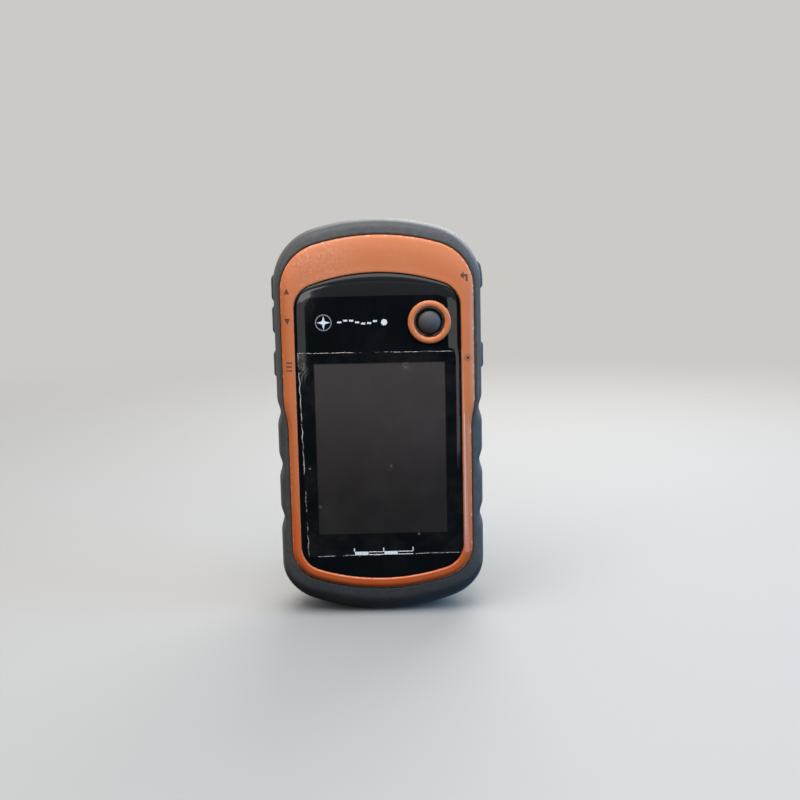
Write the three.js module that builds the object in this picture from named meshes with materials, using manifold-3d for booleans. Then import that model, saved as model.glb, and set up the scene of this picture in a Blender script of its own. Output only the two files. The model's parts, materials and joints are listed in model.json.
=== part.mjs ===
// A rugged handheld GPS receiver, in millimetres. +X is its right seen from the front, +Y its back, +Z up.
// The origin is on the surface it stands on, below the middle of its box.
import * as THREE from "three";
import { mergeVertices } from "three/addons/utils/BufferGeometryUtils.js";
import Module from "manifold-3d";

const wasm = await Module();
wasm.setup();

// ---------- Driving dimensions ----------

// Depths along Y, from the front to the back.
const DEPTH = {
  stickTop: -16.5,
  ringFront: -15.95,
  bezelCrest: -15.3,
  lensFront: -15.05,
  lensBack: -13.85,
  bezelEdge: -13.75,
  plateFront: -12.25,
  plateBack: -10.75,
  boardFront: -6.3,
  boardBack: -5.1,
  bayFloorFront: -3.7,
  bayFloor: -2.4,
  chassisBack: -1.2,
  rearShellFront: -0.5,
  bandBack: 8.6,
  ledge: 12.4,
  shellBack: 13.6,
  coverBack: 13.95,
  spineBack: 16.5,
};
const FIT = 0.1; // gap between pieces that are pressed or glued together
const WALL = 1.5; // wall of both case halves

// Outlines seen from the front. Each is two bowed ends, four round corners and two sides.
const LENS = {
  top: 89.4,
  bottom: 10.4,
  upperHalf: 20.95,
  lowerHalf: 20.95,
  topBow: 50,
  bottomBow: 54,
  topCorner: 6.5,
  bottomCorner: 6.5,
};
const BEZEL = {
  top: 98.9,
  bottom: 7.3,
  upperHalf: 24.45,
  lowerHalf: 23.45,
  topBow: 56,
  bottomBow: 55,
  topCorner: 12,
  bottomCorner: 9,
};
const SHELL = {
  top: 98.6,
  bottom: 5,
  upperHalf: 24.2,
  lowerHalf: 24.2,
  topBow: 56,
  bottomBow: 55,
  topCorner: 12,
  bottomCorner: 9.5,
};
const BAND = {
  top: 103,
  bottom: -0.45,
  upperHalf: 26.6,
  lowerHalf: 26.6,
  topBow: 56,
  bottomBow: 55,
  topCorner: 14.5,
  bottomCorner: 12,
};
const CAP_FLANGE = {
  top: 96,
  bottom: 85,
  upperHalf: 8,
  lowerHalf: 8,
  topBow: 60,
  bottomBow: 60,
  topCorner: 2.5,
  bottomCorner: 2.5,
};
const COVER = {
  top: 84,
  bottom: 8.5,
  upperHalf: 19.8,
  lowerHalf: 19.8,
  topBow: 70,
  bottomBow: 50,
  topCorner: 7,
  bottomCorner: 8,
};
const BOARD = {
  top: 94,
  bottom: 9,
  upperHalf: 19.2,
  lowerHalf: 19.2,
  topBow: 56,
  bottomBow: 55,
  topCorner: 5,
  bottomCorner: 5,
};

const WAIST = { low: 49.5, high: 57.5 }; // where the bezel narrows from its upper to its lower width
const GRIPS = { firstDip: 26, pitch: 14, dips: 3, depth: 0.75, halfLength: 3.6 };
const HEEL = { low: 2, high: 15, frontLift: 3.1, middleLift: 1.15 }; // the rounding under the band's front
const FULL_STEPS = { bow: 4, corner: 5, side: 17 };
const PLAIN_STEPS = { bow: 4, corner: 5, side: 0 };
const SIDE = { low: 20.5, high: 79.5 }; // the heights that every outline's side points lie between

const DISPLAY = { x: 0.25, z: 44.5, width: 36.4, height: 51.4, clearance: 0.3, frameRim: 0.5, frameLip: 4 };
const DISPLAY_LAYERS = { panel: [-13.75, -12.25], backlight: [-12.2, -9.95], frame: [-9.9, -9.3] };
const STICK = { x: 13.1, z: 76.8, ringOuter: 5.45, ringInner: 3.85, capRadius: 3, pivot: -11.6 };

const KEYS = [
  { name: "zoom_in", side: -1, low: 82, high: 89.6 },
  { name: "zoom_out", side: -1, low: 73.6, high: 81.6 },
  { name: "menu", side: -1, low: 62.3, high: 70 },
  { name: "back", side: 1, low: 84.1, high: 92 },
  { name: "light", side: 1, low: 63.6, high: 71.3 },
];
const KEY = { front: -8.5, back: -1, proud: 0.6, gap: 0.35, rise: 0.8, stemEnd: 22.15 };

const BAY = { half: 15.6, low: 23, high: 81 };
const CELL = { x: 7.55, y: 5.2, low: 26.5, high: 77, radius: 7.15, nubRadius: 2.7, nubHeight: 1.2 };
const CARD = { x: -7.6, low: 36, length: 15, width: 11, thickness: 0.9 };

const USB = { z: 90, width: 7.7, height: 3.9, pocketHalf: 6, pocketLow: 86.2, pocketHigh: 93.8 };
const LATCH = { z: 15.5, discRadius: 6, shaftRadius: 2.4, barHalf: 5.4, barHalfHeight: 1.5 };
const RING = { wire: 0.9, half: 5.6, drop: 8.4, y: 15.3 };
const SPINE = { low: 27, high: 79.5, neckHalf: 8, headHalf: 10 };
const SHIELD = { x: [-13, 13], z: [24, 50], height: 2 };
const CHIP = { x: [-6, 6], z: [56, 68], height: 1.3 };
const ANTENNA = { x: [-13, 5], z: [74, 92], height: 4.1 };
const BEEPER = { x: 0, z: 13, radius: 4, height: 3.1 };
const SCREW = { x: 15.8, low: 13.8, high: 88.8, headRadius: 1.9, shankRadius: 0.95 };

// ---------- Colours ----------

const finish = (color, roughness, metalness = 0) => ({ color, roughness, metalness });
const ORANGE = finish(0xc96a38, 0.5);
const RUBBER = finish(0x4b4c4e, 0.8);
const DARK_PLASTIC = finish(0x2a2b2d, 0.6);
const BLACK_GLOSS = finish(0x0c1018, 0.08);
const CLEAR_FILM = finish(0xdfe3e6, 0.2);
const GLASS = finish(0x2e2b2b, 0.15);
const BOARD_GREEN = finish(0x1f5c3a, 0.5);
const STEEL = finish(0xb9bbbd, 0.3, 1);
const CERAMIC = finish(0xcfc6b0, 0.6);
const GASKET = finish(0x7a3b33, 0.7);
const CELL_SLEEVE = finish(0x3c5f7d, 0.35);

// ---------- Solids ----------

function solidOf(geometry) {
  const bare = new THREE.BufferGeometry();
  bare.setAttribute("position", geometry.getAttribute("position"));
  if (geometry.index) bare.setIndex(geometry.index);
  const merged = mergeVertices(bare, 1e-4);
  const mesh = new wasm.Mesh({
    numProp: 3,
    vertProperties: merged.attributes.position.array,
    triVerts: new Uint32Array(merged.index.array),
  });
  return new wasm.Manifold(mesh);
}

function geometryOf(solid) {
  const mesh = solid.getMesh();
  const geometry = new THREE.BufferGeometry();
  geometry.setAttribute("position", new THREE.BufferAttribute(new Float32Array(mesh.vertProperties), 3));
  geometry.setIndex(new THREE.BufferAttribute(new Uint32Array(mesh.triVerts), 1));
  geometry.computeVertexNormals();
  return geometry;
}

const join = (...solids) => solids.reduce((sum, next) => sum.add(next));
const cut = (solid, ...tools) => tools.reduce((left, tool) => left.subtract(tool), solid);

// A box given by its two ends along X, Y and Z.
function box([x0, x1], [y0, y1], [z0, z1]) {
  const geometry = new THREE.BoxGeometry(x1 - x0, y1 - y0, z1 - z0);
  geometry.translate((x0 + x1) / 2, (y0 + y1) / 2, (z0 + z1) / 2);
  return solidOf(geometry);
}

// Turns a profile of [radius, y] points, anticlockwise with y up, about an axis along Y through (x, z).
function turned(profile, x, z, sides = 24) {
  const points = profile.map(([radius, y]) => new THREE.Vector2(radius, y));
  const geometry = new THREE.LatheGeometry([...points, points[0]], sides);
  geometry.translate(x, 0, z);
  return solidOf(geometry);
}

const discY = (x, z, radius, [y0, y1], sides = 24) =>
  turned([[0, y0], [radius, y0], [radius, y1], [0, y1]], x, z, sides);

function cylinderAlong(axis, radius, length, centre, sides = 12) {
  const geometry = new THREE.CylinderGeometry(radius, radius, length, sides);
  if (axis === "x") geometry.rotateZ(Math.PI / 2);
  if (axis === "z") geometry.rotateX(Math.PI / 2);
  geometry.translate(...centre);
  return solidOf(geometry);
}

// ---------- Outlines ----------

const grow = (outline, by) => ({
  ...outline,
  top: outline.top + by,
  bottom: outline.bottom - by,
  upperHalf: outline.upperHalf + by,
  lowerHalf: outline.lowerHalf + by,
  topBow: outline.topBow + by,
  bottomBow: outline.bottomBow + by,
  topCorner: Math.max(outline.topCorner + by, 0.6),
  bottomCorner: Math.max(outline.bottomCorner + by, 0.6),
});

// One bowed end and its corner: points from the end's middle out to the side, measured inwards from the end.
function endPoints(half, bow, corner, steps) {
  const reach = Math.sqrt((bow - corner) ** 2 - (half - corner) ** 2);
  const meet = Math.atan2(half - corner, reach);
  const points = [];
  for (let i = 0; i <= steps.bow; i++) {
    const angle = (meet * i) / steps.bow;
    points.push([bow * Math.sin(angle), bow - bow * Math.cos(angle)]);
  }
  for (let i = 1; i <= steps.corner; i++) {
    const angle = meet + ((Math.PI / 2 - meet) * i) / steps.corner;
    points.push([half - corner + corner * Math.sin(angle), bow - reach - corner * Math.cos(angle)]);
  }
  return points;
}

// How far the side grips dip into the band at height z.
function gripDip(z) {
  let dip = 0;
  for (let i = 0; i < GRIPS.dips; i++) {
    const from = Math.abs(z - GRIPS.firstDip - i * GRIPS.pitch) / GRIPS.halfLength;
    if (from < 1) dip = GRIPS.depth * (0.5 + 0.5 * Math.cos(Math.PI * from));
  }
  return dip;
}

// The outline's points, anticlockwise seen from the front, from the middle of its bottom. Side points lie at
// the same heights on every outline, so that one joins to another without a twist.
function outlinePoints(outline, steps = FULL_STEPS) {
  const lower = endPoints(outline.lowerHalf, outline.bottomBow, outline.bottomCorner, steps);
  const upper = endPoints(outline.upperHalf, outline.topBow, outline.topCorner, steps);
  const right = lower.map(([x, z]) => [x, outline.bottom + z]);
  for (let i = 0; i < steps.side; i++) {
    const z = THREE.MathUtils.lerp(SIDE.low, SIDE.high, i / (steps.side - 1));
    const share = THREE.MathUtils.smoothstep(z, WAIST.low, WAIST.high);
    const half = THREE.MathUtils.lerp(outline.lowerHalf, outline.upperHalf, share);
    right.push([half - (outline.gripShare ?? 0) * gripDip(z), z]);
  }
  right.push(...upper.reverse().map(([x, z]) => [x, outline.top - z]));
  const left = right.slice(1, -1).reverse().map(([x, z]) => [-x, z]);
  return [...right, ...left];
}

const blendPoints = (from, to, share) =>
  from.map(([x, z], i) => [
    THREE.MathUtils.lerp(x, to[i][0], share),
    THREE.MathUtils.lerp(z, to[i][1], share),
  ]);

// The rubber band's skin, moved in or out, with a share of the grips' depth.
const bandSkin = (by, gripShare) => outlinePoints({ ...grow(BAND, by), gripShare });

// The same points, raised near the bottom by up to lift.
const heeled = (points, lift) =>
  points.map(([x, z]) => [x, z + lift * (1 - THREE.MathUtils.smoothstep(z, HEEL.low, HEEL.high))]);

// Joins rings of points, each [points, y], into one skin. A capped loft is a solid body; an uncapped one
// closes on its first ring: outer front, outer back, inner back, inner front.
function loft(rings, capped) {
  const count = rings[0][0].length;
  const positions = rings.flatMap(([points, y]) => points.flatMap(([x, z]) => [x, y, z]));
  const index = [];
  const spans = capped ? rings.length - 1 : rings.length;
  for (let r = 0; r < spans; r++) {
    const front = r * count;
    const back = ((r + 1) % rings.length) * count;
    for (let i = 0; i < count; i++) {
      const next = (i + 1) % count;
      index.push(front + i, back + i, back + next, front + i, back + next, front + next);
    }
  }
  if (capped) {
    const flat = rings.map(([points]) => points.map(([x, z]) => new THREE.Vector2(x, z)));
    const last = (rings.length - 1) * count;
    for (const [a, b, c] of THREE.ShapeUtils.triangulateShape(flat[0], [])) index.push(a, b, c);
    for (const [a, b, c] of THREE.ShapeUtils.triangulateShape(flat.at(-1), []))
      index.push(last + a, last + c, last + b);
  }
  const geometry = new THREE.BufferGeometry();
  geometry.setAttribute("position", new THREE.Float32BufferAttribute(positions, 3));
  geometry.setIndex(index);
  return solidOf(geometry);
}

// A flat plate of one outline, or a flat ring between two.
const plate = (outline, [y0, y1], steps) => {
  const points = outlinePoints(outline, steps);
  return loft([[points, y0], [points, y1]], true);
};
const flatRing = (outer, inner, [y0, y1], steps) => {
  const outside = outlinePoints(outer, steps);
  const inside = outlinePoints(inner, steps);
  return loft([[outside, y0], [outside, y1], [inside, y1], [inside, y0]], false);
};

// ---------- The object as a scene graph ----------

const gps = new THREE.Group();

function group(name) {
  const made = new THREE.Group();
  made.name = name;
  gps.add(made);
  return made;
}

function addTo(parent, name, solid, { color, roughness, metalness }) {
  const material = new THREE.MeshStandardMaterial({ color, roughness, metalness });
  const mesh = new THREE.Mesh(geometryOf(solid), material);
  mesh.name = name;
  parent.add(mesh);
}

const screwPlaces = [-1, 1].flatMap((side) => [
  { x: side * SCREW.x, z: SCREW.low },
  { x: side * SCREW.x, z: SCREW.high },
]);

// ----- Face: bezel, lens, stick ring and film -----

function faceBezel() {
  const lensPoints = outlinePoints(grow(LENS, FIT));
  const crest = outlinePoints(grow(LENS, 0.55));
  const shoulder = outlinePoints(grow(BEZEL, -0.6));
  const edge = outlinePoints(BEZEL);
  const back = DEPTH.plateFront - 3 * FIT;
  return loft(
    [
      [edge, DEPTH.bezelEdge],
      [edge, back],
      [lensPoints, back],
      [lensPoints, DEPTH.bezelCrest + 0.15],
      [crest, DEPTH.bezelCrest],
      [blendPoints(crest, shoulder, 0.6), DEPTH.bezelCrest + 0.15],
      [shoulder, DEPTH.bezelEdge - 0.8],
    ],
    false,
  );
}

function lensWindow() {
  const chamfer = 0.35;
  const full = outlinePoints(LENS);
  const body = loft(
    [
      [outlinePoints(grow(LENS, -chamfer)), DEPTH.lensFront],
      [full, DEPTH.lensFront + chamfer],
      [full, DEPTH.lensBack],
    ],
    true,
  );
  return cut(body, discY(STICK.x, STICK.z, STICK.ringOuter + FIT, [-17, -13]));
}

function stickRing() {
  const { ringInner: inner, ringOuter: outer } = STICK;
  const front = DEPTH.ringFront;
  const back = DEPTH.plateFront - FIT;
  const profile = [
    [inner, back],
    [outer, back],
    [outer, front + 0.55],
    [outer - 0.3, front + 0.15],
    [(inner + outer) / 2, front],
    [inner + 0.3, front + 0.15],
    [inner, front + 0.55],
  ];
  return turned(profile.reverse(), STICK.x, STICK.z);
}

// The protective film is stuck on a little askew, so its outline is a leaning rectangle.
function screenFilm() {
  const corners = [
    [-19.25, 16.4],
    [20.3, 16.8],
    [20.8, 69.4],
    [-20.35, 69.6],
  ];
  const back = DEPTH.lensFront - 0.05;
  return loft([[corners, back - 0.15], [corners, back]], true);
}

const face = group("face");
addTo(face, "face_bezel", faceBezel(), ORANGE);
addTo(face, "lens_window", lensWindow(), BLACK_GLOSS);
addTo(face, "stick_bezel_ring", stickRing(), ORANGE);
addTo(face, "screen_film", screenFilm(), CLEAR_FILM);

// ----- Case: two shells, the rubber band round them and their seal -----

// A box on the display's outline, with a margin all round.
const displayBox = (margin, depths) => {
  const halfWidth = DISPLAY.width / 2 + margin;
  const halfHeight = DISPLAY.height / 2 + margin;
  return box(
    [DISPLAY.x - halfWidth, DISPLAY.x + halfWidth],
    depths,
    [DISPLAY.z - halfHeight, DISPLAY.z + halfHeight],
  );
};

const keyHeight = ({ low, high }) => (low + high) / 2;
const mirrored = (side, near, far) => (side > 0 ? [near, far] : [-far, -near]);

function frontChassis() {
  const outer = plate(SHELL, [DEPTH.plateFront, DEPTH.chassisBack]);
  const hollow = plate(grow(SHELL, -WALL), [DEPTH.plateBack, DEPTH.chassisBack + 1]);
  const lensBed = plate(grow(LENS, -0.8), [DEPTH.lensBack + 0.05, DEPTH.plateFront + 0.25], PLAIN_STEPS);
  const bossDepths = [DEPTH.plateBack - 0.2, DEPTH.boardFront - FIT];
  const bosses = screwPlaces.map(({ x, z }) => discY(x, z, 2.6, bossDepths, 16));
  const pilots = screwPlaces.map(({ x, z }) => discY(x, z, SCREW.shankRadius + FIT, [-9.4, 0], 12));
  const window = displayBox(DISPLAY.clearance, [-15, -9]);
  const ringSeat = discY(STICK.x, STICK.z, STICK.ringOuter + FIT, [-15, DEPTH.plateFront]);
  const stickHole = discY(STICK.x, STICK.z, 4.4, [-13, -9]);
  const slots = KEYS.map((key) => {
    const middle = keyHeight(key);
    return box(mirrored(key.side, 21, 26), [-6.5, -3.3], [middle - 1.9, middle + 1.9]);
  });
  const body = join(outer.subtract(hollow), lensBed, ...bosses);
  return cut(body, ...pilots, window, ringSeat, stickHole, ...slots);
}

function gripBand() {
  const lip = outlinePoints(grow(BEZEL, 0.15));
  const inside = outlinePoints(grow(SHELL, FIT));
  const ring = loft(
    [
      [lip, DEPTH.bezelEdge - 0.15],
      [heeled(bandSkin(-1.2, 0.6), HEEL.frontLift), DEPTH.bezelEdge + 0.5],
      [heeled(bandSkin(-0.3, 1), HEEL.middleLift), -10.5],
      [bandSkin(0, 1), -6],
      [bandSkin(-0.3, 1), 1],
      [bandSkin(-0.9, 0.6), 6],
      [bandSkin(-1.6, 0), DEPTH.bandBack],
      [inside, DEPTH.bandBack],
      [inside, DEPTH.plateFront - FIT],
      [lip, DEPTH.plateFront - 2 * FIT],
    ],
    false,
  );
  const openings = KEYS.map(({ side, low, high }) =>
    box(
      mirrored(side, 18, 30),
      [KEY.front - KEY.gap, KEY.back + KEY.gap],
      [low - KEY.gap, high + KEY.gap],
    ),
  );
  const belowFloor = box([-40, 40], [-30, 30], [-10, 0]);
  return cut(ring, ...openings, belowFloor);
}

function rearShell() {
  const under = outlinePoints(SHELL);
  const outer = loft(
    [
      [under, DEPTH.rearShellFront],
      [under, DEPTH.bandBack + 0.1],
      [bandSkin(-1.9, 0), DEPTH.bandBack + 0.2],
      [bandSkin(-3, 0), 11.6],
      [bandSkin(-4.5, 0), 13.2],
      [bandSkin(-5.6, 0), DEPTH.shellBack],
    ],
    true,
  );
  const hollow = plate(grow(SHELL, -WALL), [DEPTH.rearShellFront - 1, 11]);
  const tub = box(
    [-BAY.half - 1.3, BAY.half + 1.3],
    [DEPTH.bayFloorFront, DEPTH.ledge - 0.2],
    [BAY.low - 1.3, BAY.high + 1.3],
  );
  const cardBoss = box([-14.6, -0.6], [-4.8, DEPTH.bayFloor], [32, 54]);
  const latchBox = box([-9.2, 9.2], [7, 12], [8.5, 22.5]);
  const usbBox = box([-7.2, 7.2], [1.9, 12.5], [USB.pocketLow - 1.2, USB.pocketHigh + 1.2]);
  const columns = screwPlaces.map(({ x, z }) => discY(x, z, 3, [DEPTH.boardBack + FIT, 12], 16));
  const body = join(outer.subtract(hollow), tub, cardBoss, latchBox, usbBox, ...columns);

  const coverSeat = plate(grow(COVER, 0.15), [DEPTH.ledge, 20], PLAIN_STEPS);
  const sealGroove = flatRing(grow(COVER, -1.9), grow(COVER, -3.1), [11.7, 13], PLAIN_STEPS);
  const bay = box([-BAY.half, BAY.half], [DEPTH.bayFloor, 20], [BAY.low, BAY.high]);
  const cardPocket = box([-13.9, -1.3], [-3.7, 0], [33, 53.2]);
  const latchPocket = box([-8, 8], [8.2, 20], [LATCH.z - 5.8, LATCH.z + 5.8]);
  const usbPocket = box([-USB.pocketHalf, USB.pocketHalf], [3.2, 20], [USB.pocketLow, USB.pocketHigh]);
  const usbHole = box(
    [-USB.width / 2 - 0.15, USB.width / 2 + 0.15],
    [0, 5],
    [USB.z - USB.height / 2 - 0.15, USB.z + USB.height / 2 + 0.15],
  );
  const shanks = screwPlaces.map(({ x, z }) => discY(x, z, SCREW.shankRadius + 0.2, [-8, 8], 12));
  const heads = screwPlaces.map(({ x, z }) => discY(x, z, SCREW.headRadius + 0.3, [5.9, 20], 16));
  const pockets = [bay, cardPocket, latchPocket, usbPocket, usbHole];
  return cut(body, coverSeat, sealGroove, ...pockets, ...shanks, ...heads);
}

const shells = group("case");
addTo(shells, "front_chassis", frontChassis(), DARK_PLASTIC);
addTo(shells, "grip_band", gripBand(), RUBBER);
addTo(shells, "rear_shell", rearShell(), DARK_PLASTIC);
addTo(
  shells,
  "case_gasket",
  flatRing(
    grow(SHELL, -0.15),
    grow(SHELL, -1.35),
    [DEPTH.chassisBack + 0.05, DEPTH.rearShellFront - 0.05],
    PLAIN_STEPS,
  ),
  GASKET,
);
screwPlaces.forEach(({ x, z }, i) => {
  const shank = discY(x, z, SCREW.shankRadius, [-9, 6.1], 12);
  const head = discY(x, z, SCREW.headRadius, [6, 7.4], 16);
  const driveSlot = discY(x, z, 0.8, [6.7, 8], 6);
  addTo(shells, `case_screw_${i + 1}`, cut(join(shank, head), driveSlot), STEEL);
});

// ----- Electronics -----

const inside = group("electronics");
const displayFrame = cut(
  displayBox(DISPLAY.frameRim, DISPLAY_LAYERS.frame),
  displayBox(-DISPLAY.frameLip, [-11, -8]),
);
addTo(inside, "display_panel", displayBox(0, DISPLAY_LAYERS.panel), GLASS);
addTo(inside, "display_backlight", displayBox(0, DISPLAY_LAYERS.backlight), CERAMIC);
addTo(inside, "display_frame", displayFrame, STEEL);

// The depths of something that stands on the board's front, with a small gap under it.
const standing = (height, gap = 0.05) => [DEPTH.boardFront - height, DEPTH.boardFront - gap];

function mainBoard() {
  const holes = screwPlaces.map(({ x, z }) => discY(x, z, SCREW.shankRadius + 0.25, [-8, -3], 12));
  const [shield, chip] = [SHIELD, CHIP].map(({ x, z, height }) => box(x, standing(height, -0.1), z));
  return cut(join(plate(BOARD, [DEPTH.boardFront, DEPTH.boardBack], PLAIN_STEPS), shield, chip), ...holes);
}
addTo(inside, "main_board", mainBoard(), BOARD_GREEN);
addTo(inside, "patch_antenna", box(ANTENNA.x, standing(ANTENNA.height), ANTENNA.z), CERAMIC);
addTo(
  inside,
  "beeper",
  discY(BEEPER.x, BEEPER.z, BEEPER.radius, standing(BEEPER.height), 20),
  BLACK_GLOSS,
);

function usbSocket() {
  const { width, height, z } = USB;
  const back = 3.1;
  const heights = [z - height / 2, z + height / 2];
  const shell = box([-width / 2, width / 2], [DEPTH.boardBack + 0.05, back], heights);
  const mouth = box(
    [-width / 2 + 0.4, width / 2 - 0.4],
    [back - 6.5, back + 1],
    [z - height / 2 + 0.4, z + height / 2 - 0.4],
  );
  const tongue = box([-2.6, 2.6], [back - 7, back - 0.8], [z - 0.5, z + 0.3]);
  return join(shell.subtract(mouth), tongue);
}
addTo(inside, "usb_socket", usbSocket(), STEEL);

// The keys on each side press on switches that stand on one narrow strip.
for (const [name, side, low, high] of [
  ["left", -1, 63.5, 88.5],
  ["right", 1, 65, 90],
]) {
  const strip = box(mirrored(side, 19.6, 20.2), [-7.6, -2.2], [low, high]);
  addTo(inside, `switch_strip_${name}`, strip, BOARD_GREEN);
}

for (const key of KEYS) {
  const middle = keyHeight(key);
  const body = box(mirrored(key.side, 20.25, 21.1), [-6.9, -2.9], [middle - 1.5, middle + 1.5]);
  const nub = cylinderAlong("x", 0.9, 0.6, [key.side * 21.2, -4.9, middle]);
  addTo(inside, `key_switch_${key.name}`, join(body, nub), STEEL);
}

// ----- Thumb stick: a two-way gimbal with a cap that presses -----

const stick = group("thumb_stick");
const stickBox = (halfX, depths, halfZ) =>
  box([STICK.x - halfX, STICK.x + halfX], depths, [STICK.z - halfZ, STICK.z + halfZ]);

function stickBase() {
  const block = stickBox(3.8, [-10.6, DEPTH.boardFront - 0.05], 3.8);
  const well = stickBox(2.4, [-12, -9.8], 2.9);
  const posts = [-1, 1].map((side) => {
    const middle = STICK.x + side * 3;
    return box([middle - 0.4, middle + 0.4], [STICK.pivot - 0.7, -10.4], [STICK.z - 0.8, STICK.z + 0.8]);
  });
  return join(block.subtract(well), ...posts);
}

function stickRocker() {
  const frame = stickBox(2.2, [STICK.pivot - 0.5, STICK.pivot + 0.5], 2.2);
  const middle = stickBox(1.35, [-14, -9], 1.35);
  const pins = [-1, 1].map((side) =>
    cylinderAlong("x", 0.3, 0.5, [STICK.x + side * 2.3, STICK.pivot, STICK.z], 8),
  );
  return join(frame.subtract(middle), ...pins);
}

function stickYoke() {
  const block = stickBox(0.95, [STICK.pivot - 0.5, STICK.pivot + 0.5], 0.95);
  const pin = cylinderAlong("z", 0.3, 2.5, [STICK.x, STICK.pivot, STICK.z], 8);
  return join(block, pin, discY(STICK.x, STICK.z, 0.7, [-13.6, STICK.pivot], 12));
}

function stickCap() {
  const radius = STICK.capRadius;
  const top = DEPTH.stickTop;
  const profile = [
    [0, top],
    [radius * 0.5, top + 0.18],
    [radius * 0.82, top + 0.65],
    [radius, top + 1.5],
    [radius, top + 2.1],
    [2.2, top + 2.6],
    [1.5, top + 3.5],
    [0.85, top + 3.5],
    [0.85, top + 2.1],
    [0, top + 2.1],
  ];
  return turned(profile, STICK.x, STICK.z);
}

addTo(stick, "stick_switch_base", stickBase(), STEEL);
addTo(stick, "stick_rocker", stickRocker(), STEEL);
addTo(stick, "stick_yoke", stickYoke(), DARK_PLASTIC);
addTo(stick, "stick_cap", stickCap(), RUBBER);

// ----- Side keys -----

function keyRing() {
  const inner = outlinePoints(grow(SHELL, KEY.rise));
  return loft(
    [
      [bandSkin(-0.2, 0), KEY.front],
      [bandSkin(KEY.proud, 0), KEY.front + 1],
      [bandSkin(KEY.proud, 0), KEY.back - 1],
      [bandSkin(-0.2, 0), KEY.back],
      [inner, KEY.back],
      [inner, KEY.front],
    ],
    false,
  );
}

const keys = group("side_keys");
const keyBlank = keyRing();
for (const key of KEYS) {
  const middle = keyHeight(key);
  const pad = keyBlank.intersect(box(mirrored(key.side, 15, 35), [-12, 3], [key.low, key.high]));
  const stem = box(mirrored(key.side, KEY.stemEnd, 25.3), [-6.2, -3.6], [middle - 1.6, middle + 1.6]);
  addTo(keys, `${key.name}_key`, join(pad, stem), RUBBER);
}

// ----- Weather cap over the data socket -----

function usbCap() {
  const points = outlinePoints(CAP_FLANGE, PLAIN_STEPS);
  const crown = outlinePoints(grow(CAP_FLANGE, -0.4), PLAIN_STEPS);
  const lid = loft([[points, 13.65], [points, 14.3], [crown, 14.6]], true);
  const plug = box([-5.6, 5.6], [11.6, 13.8], [USB.pocketLow + 0.4, USB.pocketHigh - 0.4]);
  const tab = box([-2.5, 2.5], [14.2, 15.1], [85.6, 86.8]);
  return join(lid, plug, tab);
}
addTo(group("weather_cap"), "usb_weather_cap", usbCap(), RUBBER);

// ----- Battery cover with its mounting spine and turn latch -----

function batteryCover() {
  const full = outlinePoints(COVER, PLAIN_STEPS);
  const shell = loft(
    [
      [full, DEPTH.ledge + 0.15],
      [full, DEPTH.coverBack - 0.6],
      [outlinePoints(grow(COVER, -0.8), PLAIN_STEPS), DEPTH.coverBack],
    ],
    true,
  );
  const neck = box(
    [-SPINE.neckHalf, SPINE.neckHalf],
    [DEPTH.coverBack - 0.3, 15.3],
    [SPINE.low + 1, SPINE.high - 1],
  );
  const head = box([-SPINE.headHalf, SPINE.headHalf], [15.2, DEPTH.spineBack], [SPINE.low, SPINE.high]);
  const boss = discY(0, LATCH.z, 3.7, [11.4, 12.8], 20);
  const shaftHole = discY(0, LATCH.z, LATCH.shaftRadius + 0.3, [10, 15], 20);
  const discSeat = discY(0, LATCH.z, LATCH.discRadius + 0.2, [13.2, 15]);
  return cut(join(shell, neck, head, boss), shaftHole, discSeat);
}

function latchDisc() {
  const disc = discY(0, LATCH.z, LATCH.discRadius, [13.25, 14.3]);
  const ears = [-1, 1].map((side) =>
    box(mirrored(side, 1.3, 3.1), [14, RING.y + 1.2], [LATCH.z - 1.8, LATCH.z + 1.8]),
  );
  const pivotHole = cylinderAlong("x", RING.wire + 0.05, 12, [0, RING.y, LATCH.z], 12);
  return join(disc, ...ears).subtract(pivotHole);
}

function latchCam() {
  const shaft = discY(0, LATCH.z, LATCH.shaftRadius, [9.2, 13.2], 20);
  const bar = box(
    [-LATCH.barHalf, LATCH.barHalf],
    [9.2, 10.5],
    [LATCH.z - LATCH.barHalfHeight, LATCH.z + LATCH.barHalfHeight],
  );
  return join(shaft, bar).subtract(discY(0, LATCH.z, 1.05, [8, 14], 12));
}

function latchScrew() {
  return join(
    discY(0, LATCH.z, 1.8, [8.5, 9.15], 16),
    discY(0, LATCH.z, 0.95, [8.6, 13.2], 12),
  );
}

function latchKeeper() {
  const slab = box([-7.9, 7.9], [10.7, 11.3], [LATCH.z - 5.7, LATCH.z + 5.7]);
  const slot = box([-LATCH.barHalf - 0.4, LATCH.barHalf + 0.4], [9, 13], [LATCH.z - 1.95, LATCH.z + 1.95]);
  return cut(slab, slot, discY(0, LATCH.z, LATCH.shaftRadius + 0.4, [9, 13], 20));
}

// The ring is one bent wire: two legs and a half-round end, on a straight pivot bar.
function dRing() {
  const wire = new THREE.Shape();
  wire.absarc(0, 0, RING.wire, 0, Math.PI * 2);
  const points = [];
  const legs = RING.drop - RING.half;
  for (let i = 0; i <= 8; i++) {
    const angle = (Math.PI * i) / 8;
    const z = LATCH.z - legs - RING.half * Math.sin(angle);
    points.push(new THREE.Vector3(RING.half * Math.cos(angle), RING.y, z));
  }
  const path = new THREE.CurvePath();
  const right = new THREE.Vector3(RING.half, RING.y, LATCH.z);
  const left = new THREE.Vector3(-RING.half, RING.y, LATCH.z);
  path.add(new THREE.LineCurve3(right, points[0]));
  path.add(new THREE.CatmullRomCurve3(points));
  path.add(new THREE.LineCurve3(points.at(-1), left));
  const geometry = new THREE.ExtrudeGeometry(wire, { steps: 20, curveSegments: 5, extrudePath: path });
  const bar = cylinderAlong("x", RING.wire - 0.05, 2 * RING.half + 1.2, [0, RING.y, LATCH.z], 12);
  return join(solidOf(geometry), bar);
}

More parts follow.
